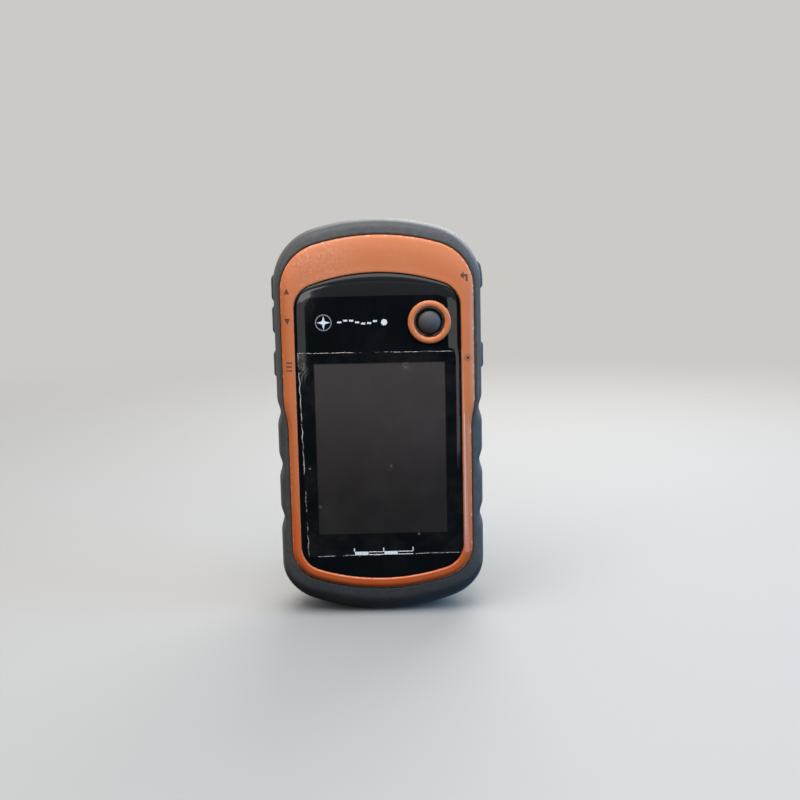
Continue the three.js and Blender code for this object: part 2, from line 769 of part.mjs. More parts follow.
const cover = group("battery_door");
addTo(cover, "battery_cover", batteryCover(), DARK_PLASTIC);
addTo(cover, "latch_disc", latchDisc(), STEEL);
addTo(cover, "latch_cam", latchCam(), STEEL);
addTo(cover, "latch_screw", latchScrew(), STEEL);
addTo(cover, "d_ring", dRing(), STEEL);
addTo(shells, "latch_keeper", latchKeeper(), STEEL);
addTo(
  shells,
  "cover_gasket",
  flatRing(grow(COVER, -2), grow(COVER, -3), [11.8, 12.5], PLAIN_STEPS),
  GASKET,
);

// ----- Batteries, their contacts and the memory card under them -----

const power = group("power");

// A cell along Z. Its raised pole points up or down.
function cell(x, poleUp) {
  const { y, low, high, radius, nubRadius, nubHeight } = CELL;
  const end = poleUp ? [low, high - nubHeight] : [low + nubHeight, high];
  const can = cylinderAlong("z", radius, end[1] - end[0], [x, y, (end[0] + end[1]) / 2], 24);
  const nubMiddle = poleUp ? high - nubHeight / 2 - 0.1 : low + nubHeight / 2 + 0.1;
  return join(can, cylinderAlong("z", nubRadius, nubHeight + 0.2, [x, y, nubMiddle], 12));
}

class SpringPath extends THREE.Curve {
  constructor(x, from, to) {
    super();
    Object.assign(this, { x, from, to });
  }
  getPoint(t, target = new THREE.Vector3()) {
    const angle = t * 2.5 * 2 * Math.PI;
    const radius = THREE.MathUtils.lerp(4.6, 2.4, t);
    const z = THREE.MathUtils.lerp(this.from, this.to, t);
    return target.set(this.x + radius * Math.cos(angle), CELL.y + radius * Math.sin(angle), z);
  }
}

// A cone spring on a square foot plate, from the bay's end wall to the cell.
function contactSpring(x, wall, cellEnd) {
  const wire = new THREE.Shape();
  wire.absarc(0, 0, 0.35, 0, Math.PI * 2);
  const inward = Math.sign(cellEnd - wall);
  const path = new SpringPath(x, wall + inward * 0.75, cellEnd - inward * 0.5);
  const coil = new THREE.ExtrudeGeometry(wire, { steps: 32, curveSegments: 3, extrudePath: path });
  const foot = [wall + inward * 0.1, wall + inward * 0.6].sort((a, b) => a - b);
  return join(solidOf(coil), box([x - 6, x + 6], [-0.5, 11.2], foot));
}

// A flat contact with a pressed cup that meets the cell's raised pole.
function contactPlate(x, wall, cellEnd) {
  const inward = Math.sign(cellEnd - wall);
  const foot = [wall + inward * 0.1, wall + inward * 0.6].sort((a, b) => a - b);
  const tip = cellEnd - inward * 0.15;
  const start = wall + inward * 0.4;
  const cup = cylinderAlong("z", 3, Math.abs(tip - start), [x, CELL.y, (tip + start) / 2], 12);
  return join(cup, box([x - 6, x + 6], [-0.5, 11.2], foot));
}

addTo(power, "battery_1", cell(-CELL.x, true), CELL_SLEEVE);
addTo(power, "battery_2", cell(CELL.x, false), CELL_SLEEVE);
addTo(power, "contact_spring_1", contactSpring(-CELL.x, BAY.low, CELL.low), STEEL);
addTo(power, "contact_spring_2", contactSpring(CELL.x, BAY.high, CELL.high), STEEL);
addTo(power, "contact_plate_1", contactPlate(-CELL.x, BAY.high, CELL.high), STEEL);
addTo(power, "contact_plate_2", contactPlate(CELL.x, BAY.low, CELL.low), STEEL);

function cardHolder() {
  const { x, low, length, width } = CARD;
  const depths = [-3.6, DEPTH.bayFloor - 0.05];
  const body = box([x - width / 2 - 0.6, x + width / 2 + 0.6], depths, [low - 2.4, low + length + 1]);
  const pocket = box([x - width / 2, x + width / 2], [-4, -2.65], [low, low + length + 3]);
  const window = box([x - 3.5, x + 3.5], [-4, 0], [low + 3, low + length - 2]);
  return cut(body, pocket, window);
}
addTo(power, "card_holder", cardHolder(), STEEL);
addTo(
  power,
  "memory_card",
  box(
    [CARD.x - CARD.width / 2 + 0.1, CARD.x + CARD.width / 2 - 0.1],
    [-2.7 - CARD.thickness, -2.7],
    [CARD.low + 0.1, CARD.low + CARD.length],
  ),
  BLACK_GLOSS,
);

export default gps;
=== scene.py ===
"""Looks for a rugged handheld GPS receiver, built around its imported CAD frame.

Lengths are in millimetres until a mesh is made, then metres: +X right seen from the front, +Y back, +Z up.
"""

import json
import math

import bmesh
import bpy
import numpy as np
from mathutils import Matrix, Vector
from mathutils.bvhtree import BVHTree


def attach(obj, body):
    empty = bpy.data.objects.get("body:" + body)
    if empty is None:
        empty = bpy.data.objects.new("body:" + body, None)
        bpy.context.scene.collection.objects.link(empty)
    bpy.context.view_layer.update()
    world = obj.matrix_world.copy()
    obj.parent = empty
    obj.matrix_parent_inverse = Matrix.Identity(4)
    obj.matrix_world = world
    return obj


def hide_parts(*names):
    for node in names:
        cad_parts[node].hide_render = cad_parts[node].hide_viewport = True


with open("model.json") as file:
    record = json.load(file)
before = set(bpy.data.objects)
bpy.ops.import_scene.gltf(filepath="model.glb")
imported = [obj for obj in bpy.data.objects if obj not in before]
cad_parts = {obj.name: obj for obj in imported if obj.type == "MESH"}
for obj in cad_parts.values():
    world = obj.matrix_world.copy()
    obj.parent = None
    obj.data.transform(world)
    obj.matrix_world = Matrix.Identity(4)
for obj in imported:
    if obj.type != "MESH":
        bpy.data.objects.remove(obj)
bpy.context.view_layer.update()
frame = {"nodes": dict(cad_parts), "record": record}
MM = 0.001

# --- Driving dimensions ---

# Depths along Y, from the front to the back.
STICK_TOP, RING_FRONT, BEZEL_CREST, LENS_FRONT, LENS_BACK = -16.5, -15.95, -15.3, -15.05, -13.85
BEZEL_EDGE, PLATE_FRONT = -13.75, -12.25
SHELL_FRONT, BAND_BACK, LEDGE, SHELL_BACK, COVER_BACK, SPINE_BACK = -0.5, 8.6, 12.4, 13.6, 13.95, 16.5
FIT = 0.1
WALL = 1.5


def outline(top, bottom, halves, bows, corners):
    """Two bowed ends, four round corners and two sides, seen from the front; pairs are upper, lower."""
    return {"top": top, "bottom": bottom, "halves": halves, "bows": bows, "corners": corners}


LENS = outline(89.4, 10.4, (20.95, 20.95), (50, 54), (6.5, 6.5))
BEZEL = outline(98.9, 7.3, (24.45, 23.45), (56, 55), (12, 9))
SHELL = outline(98.6, 5, (24.2, 24.2), (56, 55), (12, 9.5))
BAND = outline(103, -0.45, (26.6, 26.6), (56, 55), (14.5, 12))
COVER = outline(84, 8.5, (19.8, 19.8), (70, 50), (7, 8))
USB_FLANGE = outline(96, 85, (8, 8), (60, 60), (2.5, 2.5))

WAIST = (49.5, 57.5)  # where the bezel narrows from its upper to its lower width
SIDE = (20.5, 79.5)  # the heights that every outline's side points lie between
GRIP_DIPS = (26, 40, 54)
GRIP_DEPTH, GRIP_HALF_LENGTH = 0.75, 3.6
HEEL = (2, 15)  # the heights that the rounding under the band's front lies between
FINE = {"bow": 26, "corner": 16, "side": 116}
PLAIN = {"bow": 20, "corner": 12, "side": 0}

DISPLAY = {"x": 0.25, "z": 44.5, "width": 33.5, "height": 44.7}
STICK_X, STICK_Z, RING_OUTER, RING_INNER, CAP_RADIUS = 13.1, 76.8, 5.45, 3.85, 3.0
KEYS = {
    "zoom_in": (-1, 82, 89.6),
    "zoom_out": (-1, 73.6, 81.6),
    "menu": (-1, 62.3, 70),
    "back": (1, 84.1, 92),
    "light": (1, 63.6, 71.3),
}
KEY_FRONT, KEY_BACK, KEY_GAP, KEY_PROUD = -8.5, -1, 0.35, 0.6
BAY_HALF, BAY_LOW, BAY_HIGH, BAY_FLOOR = 15.6, 23, 81, -2.4
USB_Z, USB_LOW, USB_HIGH, USB_HALF = 90, 86.2, 93.8, 6
LATCH_Z, DISC_RADIUS, SHAFT_RADIUS = 15.5, 6, 2.4
WIRE, RING_HALF, RING_DROP, RING_Y = 0.9, 5.6, 8.4, 15.3
SPINE_LOW, SPINE_HIGH, NECK_HALF, HEAD_HALF = 27, 79.5, 8, 10
SCREW_X, SCREW_LOW, SCREW_HIGH = 15.8, 13.8, 88.8
# Across, up and size.
FILM_NICKS = ((6.9, 65.8, 1.2), (2.5, 39.9, 0.7), (-15.8, 29.7, 0.6), (-18.1, 39.9, 0.6), (9.5, 22.0, 0.5))
CELL_X, CELL_Y, CELL_LOW, CELL_HIGH, CELL_RADIUS = 7.55, 5.2, 26.5, 77, 7.15

# --- Outlines and rings of points ---


def grow(shape, by):
    top, bottom = shape["top"] + by, shape["bottom"] - by
    halves, bows, corners = (tuple(v + by for v in shape[key]) for key in ("halves", "bows", "corners"))
    return outline(top, bottom, halves, bows, tuple(max(corner, 0.6) for corner in corners))


def corner_centre(half, bow, corner):
    """A corner circle's centre: out from the middle, and in from the bowed end."""
    return half - corner, bow - math.sqrt((bow - corner) ** 2 - (half - corner) ** 2)


def end_points(half, bow, corner, steps):
    """One bowed end and its corner, from the middle out to the side, measured inwards from the end."""
    out, inwards = corner_centre(half, bow, corner)
    meet = math.atan2(out, bow - inwards)
    bowed = np.linspace(0, meet, steps["bow"] + 1)
    turn = np.linspace(meet, math.pi / 2, steps["corner"] + 1)[1:]
    x = np.concatenate([bow * np.sin(bowed), out + corner * np.sin(turn)])
    z = np.concatenate([bow - bow * np.cos(bowed), inwards - corner * np.cos(turn)])
    return np.column_stack([x, z])


def smoothstep(value, low, high):
    share = np.clip((value - low) / (high - low), 0, 1)
    return share * share * (3 - 2 * share)


def grip_dip(z):
    """How far the side grips dip into the band at height z."""
    dip = 0 * z
    for middle in GRIP_DIPS:
        share = np.clip(np.abs(z - middle) / GRIP_HALF_LENGTH, 0, 1)
        dip = dip + GRIP_DEPTH * (0.5 + 0.5 * np.cos(math.pi * share))
    return dip


def points(shape, steps=FINE, grip_share=0.0):
    """The outline's points, anticlockwise seen from the front, from the middle of its bottom."""
    upper, lower = (
        end_points(shape["halves"][i], shape["bows"][i], shape["corners"][i], steps) for i in (0, 1)
    )
    right = [lower * (1, 1) + (0, shape["bottom"])]
    if steps["side"]:
        z = np.linspace(*SIDE, steps["side"])
        share = smoothstep(z, *WAIST)
        half = shape["halves"][1] + (shape["halves"][0] - shape["halves"][1]) * share
        right.append(np.column_stack([half - grip_share * grip_dip(z), z]))
    right.append(upper[::-1] * (1, -1) + (0, shape["top"]))
    right = np.concatenate(right)
    left = right[1:-1][::-1] * (-1, 1)
    return np.concatenate([right, left])


def heeled(flat, lift):
    """The same points, raised near the bottom by up to lift."""
    rise = lift * (1 - smoothstep(flat[:, 1], *HEEL))
    return flat + np.column_stack([0 * rise, rise])


def ring(flat, depth):
    """A closed ring of 3-D points from an outline's points and their depth, one number or one for each."""
    return np.column_stack([flat[:, 0], np.broadcast_to(depth, len(flat)), flat[:, 1]])


def grown_ring(shape, by, depth, steps=FINE):
    return ring(points(grow(shape, by), steps), depth)


def about(middle, half):
    return middle - half, middle + half


def smoothed(rings, per_span):
    """More rings on a smooth curve through the given ones (Catmull-Rom, point by point)."""
    ends = [2 * rings[0] - rings[1], *rings, 2 * rings[-1] - rings[-2]]
    made = []
    for a, b, c, d in zip(ends, ends[1:], ends[2:], ends[3:]):
        for t in np.arange(per_span) / per_span:
            curve = 2 * b + (c - a) * t + (2 * a - 5 * b + 4 * c - d) * t**2 + (3 * b - a - 3 * c + d) * t**3
            made.append(curve / 2)
    return [*made, rings[-1]]


# --- Meshes ---


def add_object(name, data):
    made = bpy.data.objects.new(name, data)
    bpy.context.scene.collection.objects.link(made)
    return made


def add_mesh(name, verts, faces, sharp_deg=32):
    """A smooth-shaded object, from vertices in millimetres, with its faces turned outwards."""
    mesh = bpy.data.meshes.new(name)
    mesh.from_pydata([tuple(v) for v in np.asarray(verts, float) * MM], [], faces)
    made = add_object(name, mesh)
    tidy(made, sharp_deg)
    return made


def tidy(made, sharp_deg=32):
    work = bmesh.new()
    work.from_mesh(made.data)
    bmesh.ops.remove_doubles(work, verts=work.verts, dist=1e-7)
    bmesh.ops.recalc_face_normals(work, faces=work.faces)
    work.to_mesh(made.data)
    work.free()
    made.data.shade_smooth()
    made.data.set_sharp_from_angle(angle=math.radians(sharp_deg))


def strips(rings, count, closed):
    """Faces from each ring of count points to the next, and from the last to the first if closed."""
    faces = []
    for r in range(rings if closed else rings - 1):
        near, far = r * count, (r + 1) % rings * count
        for i in range(count):
            k = (i + 1) % count
            faces.append((near + i, far + i, far + k, near + k))
    return faces


def grid(rows, columns):
    """Faces of a grid of points that are listed row by row."""
    width = columns + 1
    starts = [i * width + j for i in range(rows) for j in range(columns)]
    return [(a, a + 1, a + 1 + width, a + width) for a in starts]


def loft(name, rings, capped=False, sharp_deg=32):
    """One skin through rings of points: with flat ends if capped, otherwise closed on its first ring."""
    count = len(rings[0])
    faces = strips(len(rings), count, not capped)
    if capped:
        faces.append(tuple(range(count)))
        faces.append(tuple(range(len(rings) * count - 1, (len(rings) - 1) * count - 1, -1)))
    return add_mesh(name, np.concatenate(rings), faces, sharp_deg)


def stepped(name, shape, steps, capped=True, sharp_deg=32):
    """A solid whose outline is grown by its own amount at each step's depth."""
    return loft(name, [grown_ring(shape, by, depth, PLAIN) for by, depth in steps], capped, sharp_deg)


def block(name, x, y, z, round_by=0.0, segments=3):
    """A box between two ends along each axis, with its edges rounded."""
    work = bmesh.new()
    bmesh.ops.create_cube(work, size=1)
    for v in work.verts:
        v.co = [(ends[0] + ends[1]) / 2 + c * (ends[1] - ends[0]) for c, ends in zip(v.co, (x, y, z))]
    if round_by:
        bmesh.ops.bevel(
            work, geom=list(work.edges), offset=round_by, segments=segments, profile=0.5, affect="EDGES"
        )
    verts = [tuple(v.co) for v in work.verts]
    faces = [tuple(v.index for v in f.verts) for f in work.faces]
    work.free()
    return add_mesh(name, verts, faces)


def turned(name, profile, centre, sides):
    """Turns a profile of (radius, depth) points about an axis along Y through (x, z)."""
    verts = []
    angles = np.linspace(0, 2 * math.pi, sides, endpoint=False)
    for radius, depth in profile:
        for angle in angles:
            verts.append((centre[0] + radius * math.cos(angle), depth, centre[1] + radius * math.sin(angle)))
    closed = profile[0][0] > 0 and profile[-1][0] > 0
    faces = [(a, d, c, b) for a, b, c, d in strips(len(profile), sides, closed)]
    return add_mesh(name, verts, faces)


def disc(name, centre, radius, depths, sides=64):
    near, far = depths
    return turned(name, [(0, near), (radius, near), (radius, far), (0, far)], centre, sides)


def arc_profile(middle, radius, start_deg, end_deg, steps):
    """Points of a rounded edge, for a turned profile."""
    angles = np.radians(np.linspace(start_deg, end_deg, steps + 1))
    return [(middle[0] + radius * math.cos(a), middle[1] + radius * math.sin(a)) for a in angles]


def settled(made):
    """The mesh that an object's modifiers or a curve's thickness make."""
    graph = bpy.context.evaluated_depsgraph_get()
    return bpy.data.meshes.new_from_object(made.evaluated_get(graph))


def combine(made, others, operation):
    """Joins other solids to this one, or cuts them from it, and removes them."""
    for other in others:
        modify(made, other.name, "BOOLEAN", operation=operation, object=other, solver="EXACT")
    mesh = settled(made)
    made.modifiers.clear()
    made.data = mesh
    for other in others:
        bpy.data.objects.remove(other)
    tidy(made)
    return made


def join(made, *others):
    return combine(made, others, "UNION")


def cut(made, *others):
    return combine(made, others, "DIFFERENCE")


def modify(made, name, kind, **settings):
    step = made.modifiers.new(name, kind)
    for key, value in settings.items():
        setattr(step, key, value)


def thicken(made, thickness):
    modify(made, "thickness", "SOLIDIFY", thickness=thickness * MM, offset=0)


def mirrored(side, near, far):
    return (near, far) if side > 0 else (-far, -near)


def paint(made, values):
    """Stores how worn each vertex is, from 0 to 1, for the material."""
    layer = made.data.attributes.new("wear", "FLOAT", "POINT")
    layer.data.foreach_set("value", np.asarray(values, np.float32))


def coordinates(made):
    """A mesh's vertices in millimetres."""
    flat = np.zeros(len(made.data.vertices) * 3, np.float32)
    made.data.vertices.foreach_get("co", flat)
    return flat.reshape(-1, 3) / MM


# --- Materials ---


class Look:
    """A procedural material: one Principled shader and the nodes that feed it. Lengths are in millimetres."""

    def __init__(self, name, color, roughness, **constants):
        self.made = bpy.data.materials.new(name)
        self.made.use_nodes = True
        self.tree = self.made.node_tree
        self.shader = self.tree.nodes["Principled BSDF"]
        self.set(Base_Color=(*color, 1), Roughness=roughness, **constants)
        self.place = self.node("TexCoord").outputs["Object"]

    def node(self, kind, inputs=None, **settings):
        made = self.tree.nodes.new("ShaderNode" + kind)
        for key, value in settings.items():
            setattr(made, key, value)
        for key, value in (inputs or {}).items():
            self.feed(made.inputs[key], value)
        return made

    def feed(self, socket, value):
        if isinstance(value, bpy.types.NodeSocket):
            self.tree.links.new(value, socket)
        else:
            socket.default_value = value

    def noise(self, size, detail, roughness, stretch=None):
        """Noise whose features are about size millimetres across."""
        place = self.place
        if stretch:
            place = self.node("VectorMath", {0: place, 1: stretch}, operation="MULTIPLY").outputs[0]
        inputs = {"Vector": place, "Scale": 1 / (size * MM), "Detail": detail, "Roughness": roughness}
        return self.node("TexNoise", inputs).outputs["Fac"]

    def cells(self, size, feature="F1"):
        inputs = {"Vector": self.place, "Scale": 1 / (size * MM)}
        return self.node("TexVoronoi", inputs, feature=feature).outputs["Distance"]

    def axis(self, index):
        """The height, width or depth of a point, in millimetres."""
        parts = self.node("SeparateXYZ", {0: self.place})
        return self.times(parts.outputs[index], 1 / MM)

    def math(self, operation, *values):
        return self.node("Math", dict(enumerate(values)), operation=operation).outputs[0]

    def chain(self, operation, total, *values):
        for value in values:
            total = self.math(operation, total, value)
        return total

    def times(self, *values):
        return self.chain("MULTIPLY", *values)

    def plus(self, *values):
        return self.chain("ADD", *values)

    def most(self, *values):
        return self.chain("MAXIMUM", *values)

    def off(self, value, middle):
        """How far a value is from a middle one, either way."""
        return self.math("ABSOLUTE", self.math("SUBTRACT", value, middle))

    def ramp(self, value, low, high):
        """0 below low and 1 above high, with soft ends; high may be the lower one."""
        ends = {"Value": value, "From Min": low, "From Max": high}
        return self.node("MapRange", ends, interpolation_type="SMOOTHSTEP").outputs[0]

    def patches(self, noise, low, high):
        """Soft patches, from the part of a noise that lies between low and high."""
        return self.ramp(self.noise(*noise), low, high)

    def mix(self, share, *colors):
        made = self.node("Mix", {0: share}, data_type="RGBA")
        for index, color in zip((6, 7), colors):
            self.feed(made.inputs[index], (*color, 1) if isinstance(color, tuple) else color)
        return made.outputs[2]

    def blend(self, share, *colors):
        self.set(Base_Color=self.mix(share, *colors))

    def near(self, centre, radius):
        """1 at a point and 0 beyond the radius, in millimetres."""
        point = tuple(c * MM for c in centre)
        away = self.node("VectorMath", {0: self.place, 1: point}, operation="DISTANCE")
        return self.ramp(away.outputs["Value"], radius * MM, 0.0)

    def worn(self):
        return self.node("Attribute", attribute_name="wear").outputs["Fac"]

    def bump(self, height, distance, strength=1.0):
        inputs = {"Height": height, "Distance": distance * MM, "Strength": strength}
        self.feed(self.shader.inputs["Normal"], self.node("Bump", inputs).outputs[0])

    def rough(self, least, grain, by):
        self.set(Roughness=self.plus(least, self.times(grain, by)))

    def set(self, **values):
        for key, value in values.items():
            self.feed(self.shader.inputs[key.replace("_", " ")], value)


def orange_plastic():
    """Satin moulded plastic: fine grain, scuffs along the top with a haze that is partly painted sheen,
    painted shade towards the bottom, chipped pale edges.
    """
    look = Look("orange_plastic", (0.62, 0.16, 0.036), 0.42)
    # Painted shade: darker and more saturated towards the bottom.
    shade = look.mix(look.ramp(look.axis(2), 4.0, 50.0), (0.60, 0.092, 0.013), (0.60, 0.158, 0.044))
    blotch = look.patches((9, 3, 0.6), 0.35, 0.7)
    shade = look.mix(look.times(blotch, 0.2), shade, (0.66, 0.21, 0.075))
    specks = look.times(look.ramp(look.cells(0.5), 0.30, 0.16), look.patches((2.2, 3, 0.6), 0.46, 0.6))
    scuffed = look.most(look.near((-18, -14.5, 93.5), 8), look.times(look.near((6, -15, 93), 11), 0.4))
    scuff = look.times(scuffed, specks)
    # A pale haze over the upper left: partly scuffing, partly painted sheen where the top catches the light.
    haze = look.times(look.near((-14, -14.5, 92), 16), look.patches((0.8, 4, 0.7), 0.4, 0.7))
    chips = look.plus(look.noise(1.3, 4, 0.7), look.times(look.ramp(look.axis(2), 17, 9), 0.1))
    flecks = look.times(look.worn(), look.ramp(chips, 0.53, 0.6))
    pale = look.most(look.times(scuff, 0.6), look.times(flecks, 0.6), look.times(haze, 0.16))
    look.blend(pale, shade, (0.74, 0.62, 0.54))
    look.rough(0.34, look.noise(2.5, 4, 0.6), 0.2)
    look.bump(look.noise(0.22, 2, 0.6), 0.012, 0.5)
    return look.made


def rubber(name, color, worn_color, grain=0.28, sheen=0.12, painted_shade_from=None):
    """Moulded rubber: matt, finely grained, a little dusty, with paler rubbed edges, and painted near-black
    shade behind a given depth when one is given.
    """
    look = Look(name, color, 0.62, Sheen_Weight=sheen, Sheen_Roughness=0.5)
    blotch = look.patches((7, 4, 0.65), 0.35, 0.75)
    shade = look.mix(look.times(blotch, 0.35), color, worn_color)
    rubbed = look.times(look.worn(), look.patches((1.1, 4, 0.7), 0.35, 0.7))
    shade = look.mix(look.times(rubbed, 0.6), shade, tuple(1.8 * c for c in worn_color))
    dust = look.ramp(look.cells(1.6), 0.085, 0.05)
    dust = look.times(dust, look.patches((5, 2, 0.5), 0.5, 0.7))
    shade = look.mix(look.times(dust, 0.5), shade, (0.35, 0.35, 0.34))
    # Painted shade: near-black behind the given depth, as in a deep well.
    if painted_shade_from is not None:
        shade = look.mix(look.ramp(look.axis(1), painted_shade_from, painted_shade_from + 0.6), shade, (0.006, 0.006, 0.007))
    look.set(Base_Color=shade)
    look.rough(0.5, look.noise(3, 4, 0.6), 0.22)
    look.bump(look.noise(grain, 3, 0.65), 0.045, 0.6)
    return look.made


def shell_plastic():
    """Spark-textured black plastic."""
    look = Look("shell_plastic", (0.03, 0.031, 0.034), 0.5)
    blotch = look.patches((11, 4, 0.6), 0.3, 0.75)
    look.blend(look.times(blotch, 0.4), (0.026, 0.027, 0.03), (0.05, 0.051, 0.054))
    look.rough(0.42, look.noise(1.5, 4, 0.65), 0.2)
    look.bump(look.noise(0.35, 3, 0.7), 0.035, 0.6)
    return look.made


def lens_gloss():
    """Polished lens over black print, with faint wiping marks."""
    look = Look("lens", (0.005, 0.006, 0.007), 0.05, Specular_IOR_Level=0.45)
    smear = look.patches((6, 5, 0.7, (1, 1, 0.35)), 0.45, 0.75)
    look.blend(look.times(smear, 0.3), (0.004, 0.005, 0.006), (0.013, 0.014, 0.016))
    look.rough(0.03, smear, 0.06)
    return look.made


def display_dark():
    """The switched-off display: warm grey, with painted light making it paler towards its top, dark at its
    border.
    """
    look = Look("display_glass", (0.04, 0.036, 0.036), 0.1, Specular_IOR_Level=0.45)
    # Painted light: paler towards the top.
    shade = look.mix(look.ramp(look.axis(2), 24.0, 68.0), (0.020, 0.0172, 0.0165), (0.060, 0.049, 0.046))
    shade = look.mix(look.times(look.patches((8, 3, 0.6), 0.3, 0.8), 0.15), shade, (0.06, 0.052, 0.05))
    across = look.off(look.axis(0), DISPLAY["x"])
    along = look.off(look.axis(2), DISPLAY["z"])
    inside = look.times(
        look.ramp(across, DISPLAY["width"] / 2, DISPLAY["width"] / 2 - 0.45),
        look.ramp(along, DISPLAY["height"] / 2, DISPLAY["height"] / 2 - 0.45),
    )
    look.blend(inside, (0.005, 0.006, 0.007), shade)
    return look.made


def film_clear():
    """Thin clear film: nearly invisible inside, whitened and creased along its cut edges, with a painted
    sheen and a painted glint where it climbs onto the bezel's lip.
    """
    look = Look("film", (0.88, 0.75, 0.68), 0.25)
    broken = look.patches((3.4, 4, 0.75), 0.42, 0.6)
    edge = look.times(look.worn(), broken, 0.75)
    haze = look.times(look.patches((10, 4, 0.7), 0.4, 0.9), 0.01)
    # Painted sheen: the film is made paler where it climbs onto the bezel's right lip.
    lift = look.times(look.ramp(look.axis(0), 20.9, 21.5), 0.1)
    # A glint runs up the film where it bends over the bezel's lip.
    glint = look.ramp(look.off(look.axis(0), 21.6), 0.3, 0.04)
    glint = look.times(glint, look.ramp(look.axis(2), 56, 52), look.ramp(look.axis(2), 17, 24), 0.4)
    scratched = look.patches((0.7, 3, 0.7, (1, 1, 2.5)), 0.5, 0.62)
    nicks = 0.0
    for x, z, size in FILM_NICKS:
        nicks = look.most(nicks, look.near((x, LENS_FRONT - 0.1, z), size))
    nicks = look.times(nicks, scratched, 0.28)
    look.set(Alpha=look.plus(haze, look.most(look.most(edge, lift), look.most(glint, nicks))))
    return look.made


def metal(name, color, roughness):
    look = Look(name, color, roughness, Metallic=1.0)
    streak = look.noise(0.5, 3, 0.6)
    look.blend(look.ramp(streak, 0.3, 0.75), tuple(0.8 * c for c in color), color)
    look.rough(roughness - 0.06, streak, 0.16)
    look.bump(streak, 0.006, 0.4)
    return look.made


def mottled(name, color, other, roughness):
    """A plain moulded or fired surface: two close shades, and a fine grain."""
    look = Look(name, color, roughness)
    look.blend(look.patches((2.0, 4, 0.6), 0.3, 0.7), color, other)
    look.rough(roughness - 0.08, look.noise(2.0, 3, 0.6), 0.16)
    look.bump(look.noise(0.3, 2, 0.6), 0.01, 0.4)
    return look.made


def circuit_board():
    """Green solder mask with paler tracks."""
    look = Look("circuit_board", (0.02, 0.12, 0.05), 0.35)
    tracks = look.ramp(look.cells(1.6, "DISTANCE_TO_EDGE"), 0.06, 0.03)
    look.blend(tracks, (0.012, 0.09, 0.035), (0.03, 0.19, 0.075))
    look.bump(tracks, 0.02, 0.6)
    return look.made


def cell_sleeve():
    """A printed sleeve in two plain colours."""
    look = Look("cell_sleeve", (0.08, 0.16, 0.24), 0.28)
    upper = look.ramp(look.axis(2), 61.8, 62.0)
    shade = look.mix(upper, (0.07, 0.15, 0.23), (0.5, 0.52, 0.53))
    scratch = look.patches((0.8, 4, 0.7, (3, 3, 0.4)), 0.6, 0.7)
    look.blend(look.times(scratch, 0.25), shade, (0.5, 0.5, 0.5))
    look.rough(0.22, look.noise(3, 3, 0.6), 0.15)
    return look.made


def print_ink(name, color):
    """Printed marks, thin in places."""
    look = Look(name, color, 0.45)
    thin = look.patches((0.35, 3, 0.7), 0.55, 0.75)
    look.blend(look.times(thin, 0.5), color, tuple(0.7 * c for c in color))
    return look.made


LOOKS = {
    "orange_plastic": orange_plastic(),
    "grip_rubber": rubber("grip_rubber", (0.036, 0.036, 0.037), (0.058, 0.057, 0.056)),
    "shell_plastic": shell_plastic(),
    "lens": lens_gloss(),
    "film": film_clear(),
    "display_glass": display_dark(),
    "circuit_board": circuit_board(),
    "steel": metal("steel", (0.56, 0.56, 0.57), 0.32),
    "contact_metal": metal("contact_metal", (0.68, 0.66, 0.62), 0.24),
    "cell_sleeve": cell_sleeve(),
}
for name, *values in (
    ("white_plastic", (0.72, 0.72, 0.69), (0.78, 0.78, 0.76), 0.35),
    ("seal_rubber", (0.25, 0.055, 0.045), (0.3, 0.07, 0.06), 0.6),
    ("ceramic", (0.6, 0.53, 0.4), (0.66, 0.6, 0.48), 0.4),
    ("black_plastic", (0.012, 0.012, 0.013), (0.02, 0.02, 0.021), 0.42),
):
    LOOKS[name] = mottled(name, *values)
# The stick's rubber takes painted near-black shade behind its cap's rim, in the ring's well.
STICK_RUBBER = rubber("stick_rubber", (0.043, 0.042, 0.045), (0.062, 0.062, 0.065), 0.2, 0.0, STICK_TOP + 1.2)
INK_DARK = print_ink("ink_dark", (0.10, 0.035, 0.02))
INK_WHITE = print_ink("ink_white", (0.78, 0.8, 0.82))
INK_GREY = print_ink("ink_grey", (0.22, 0.23, 0.25))


def finish(piece, body, slot, *nodes, look=None):
    """Gives a new piece its body, its finish and the CAD nodes that it stands for."""
    if not piece.data.attributes.get("wear"):
        paint(piece, np.zeros(len(piece.data.vertices)))
    piece.data.materials.clear()
    piece.data.materials.append(look or LOOKS[slot])
    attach(piece, body)
    if nodes:
        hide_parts(*nodes)
    return piece


# --- Face ---


# How far across the bezel, and how far behind its crest.
CROWN = (0.15, 0.02), (0.4, 0.06), (0.7, 0.22), (1, 0.62)


def make_bezel():
    """One moulded ring: a low crown from the rounded lip round the lens to the rounded outer edge."""
    edge, lip = points(BEZEL), points(grow(LENS, FIT))
    crest = points(grow(LENS, 0.55))
    shoulder = points(grow(BEZEL, -0.5))

    inner = [ring(lip, BEZEL_CREST + 0.3), grown_ring(LENS, FIT + 0.12, BEZEL_CREST + 0.06)]
    over = [
        ring(crest, BEZEL_CREST - 0.02),
        *(ring(crest + (shoulder - crest) * share, BEZEL_CREST + by) for share, by in CROWN),
        grown_ring(BEZEL, -0.12, BEZEL_CREST + 1.05),
        ring(edge, BEZEL_EDGE + 0.2),
    ]
    front = smoothed(inner + over, 4)
    back = PLATE_FRONT - 3 * FIT
    bezel = loft("bezel", [ring(lip, back), *front, ring(edge, back)], sharp_deg=50)
    # Worn on the outer edge, and a little on the lip round the lens.
    steps = np.arange(len(bezel.data.vertices)) // len(edge)
    wear = np.zeros(len(steps))
    wear[(steps >= len(front) - 7) & (steps <= len(front) - 3)] = 0.9
    wear[steps <= 5] = 0.35
    paint(bezel, wear)
    return finish(bezel, "case", "orange_plastic", "face_bezel")


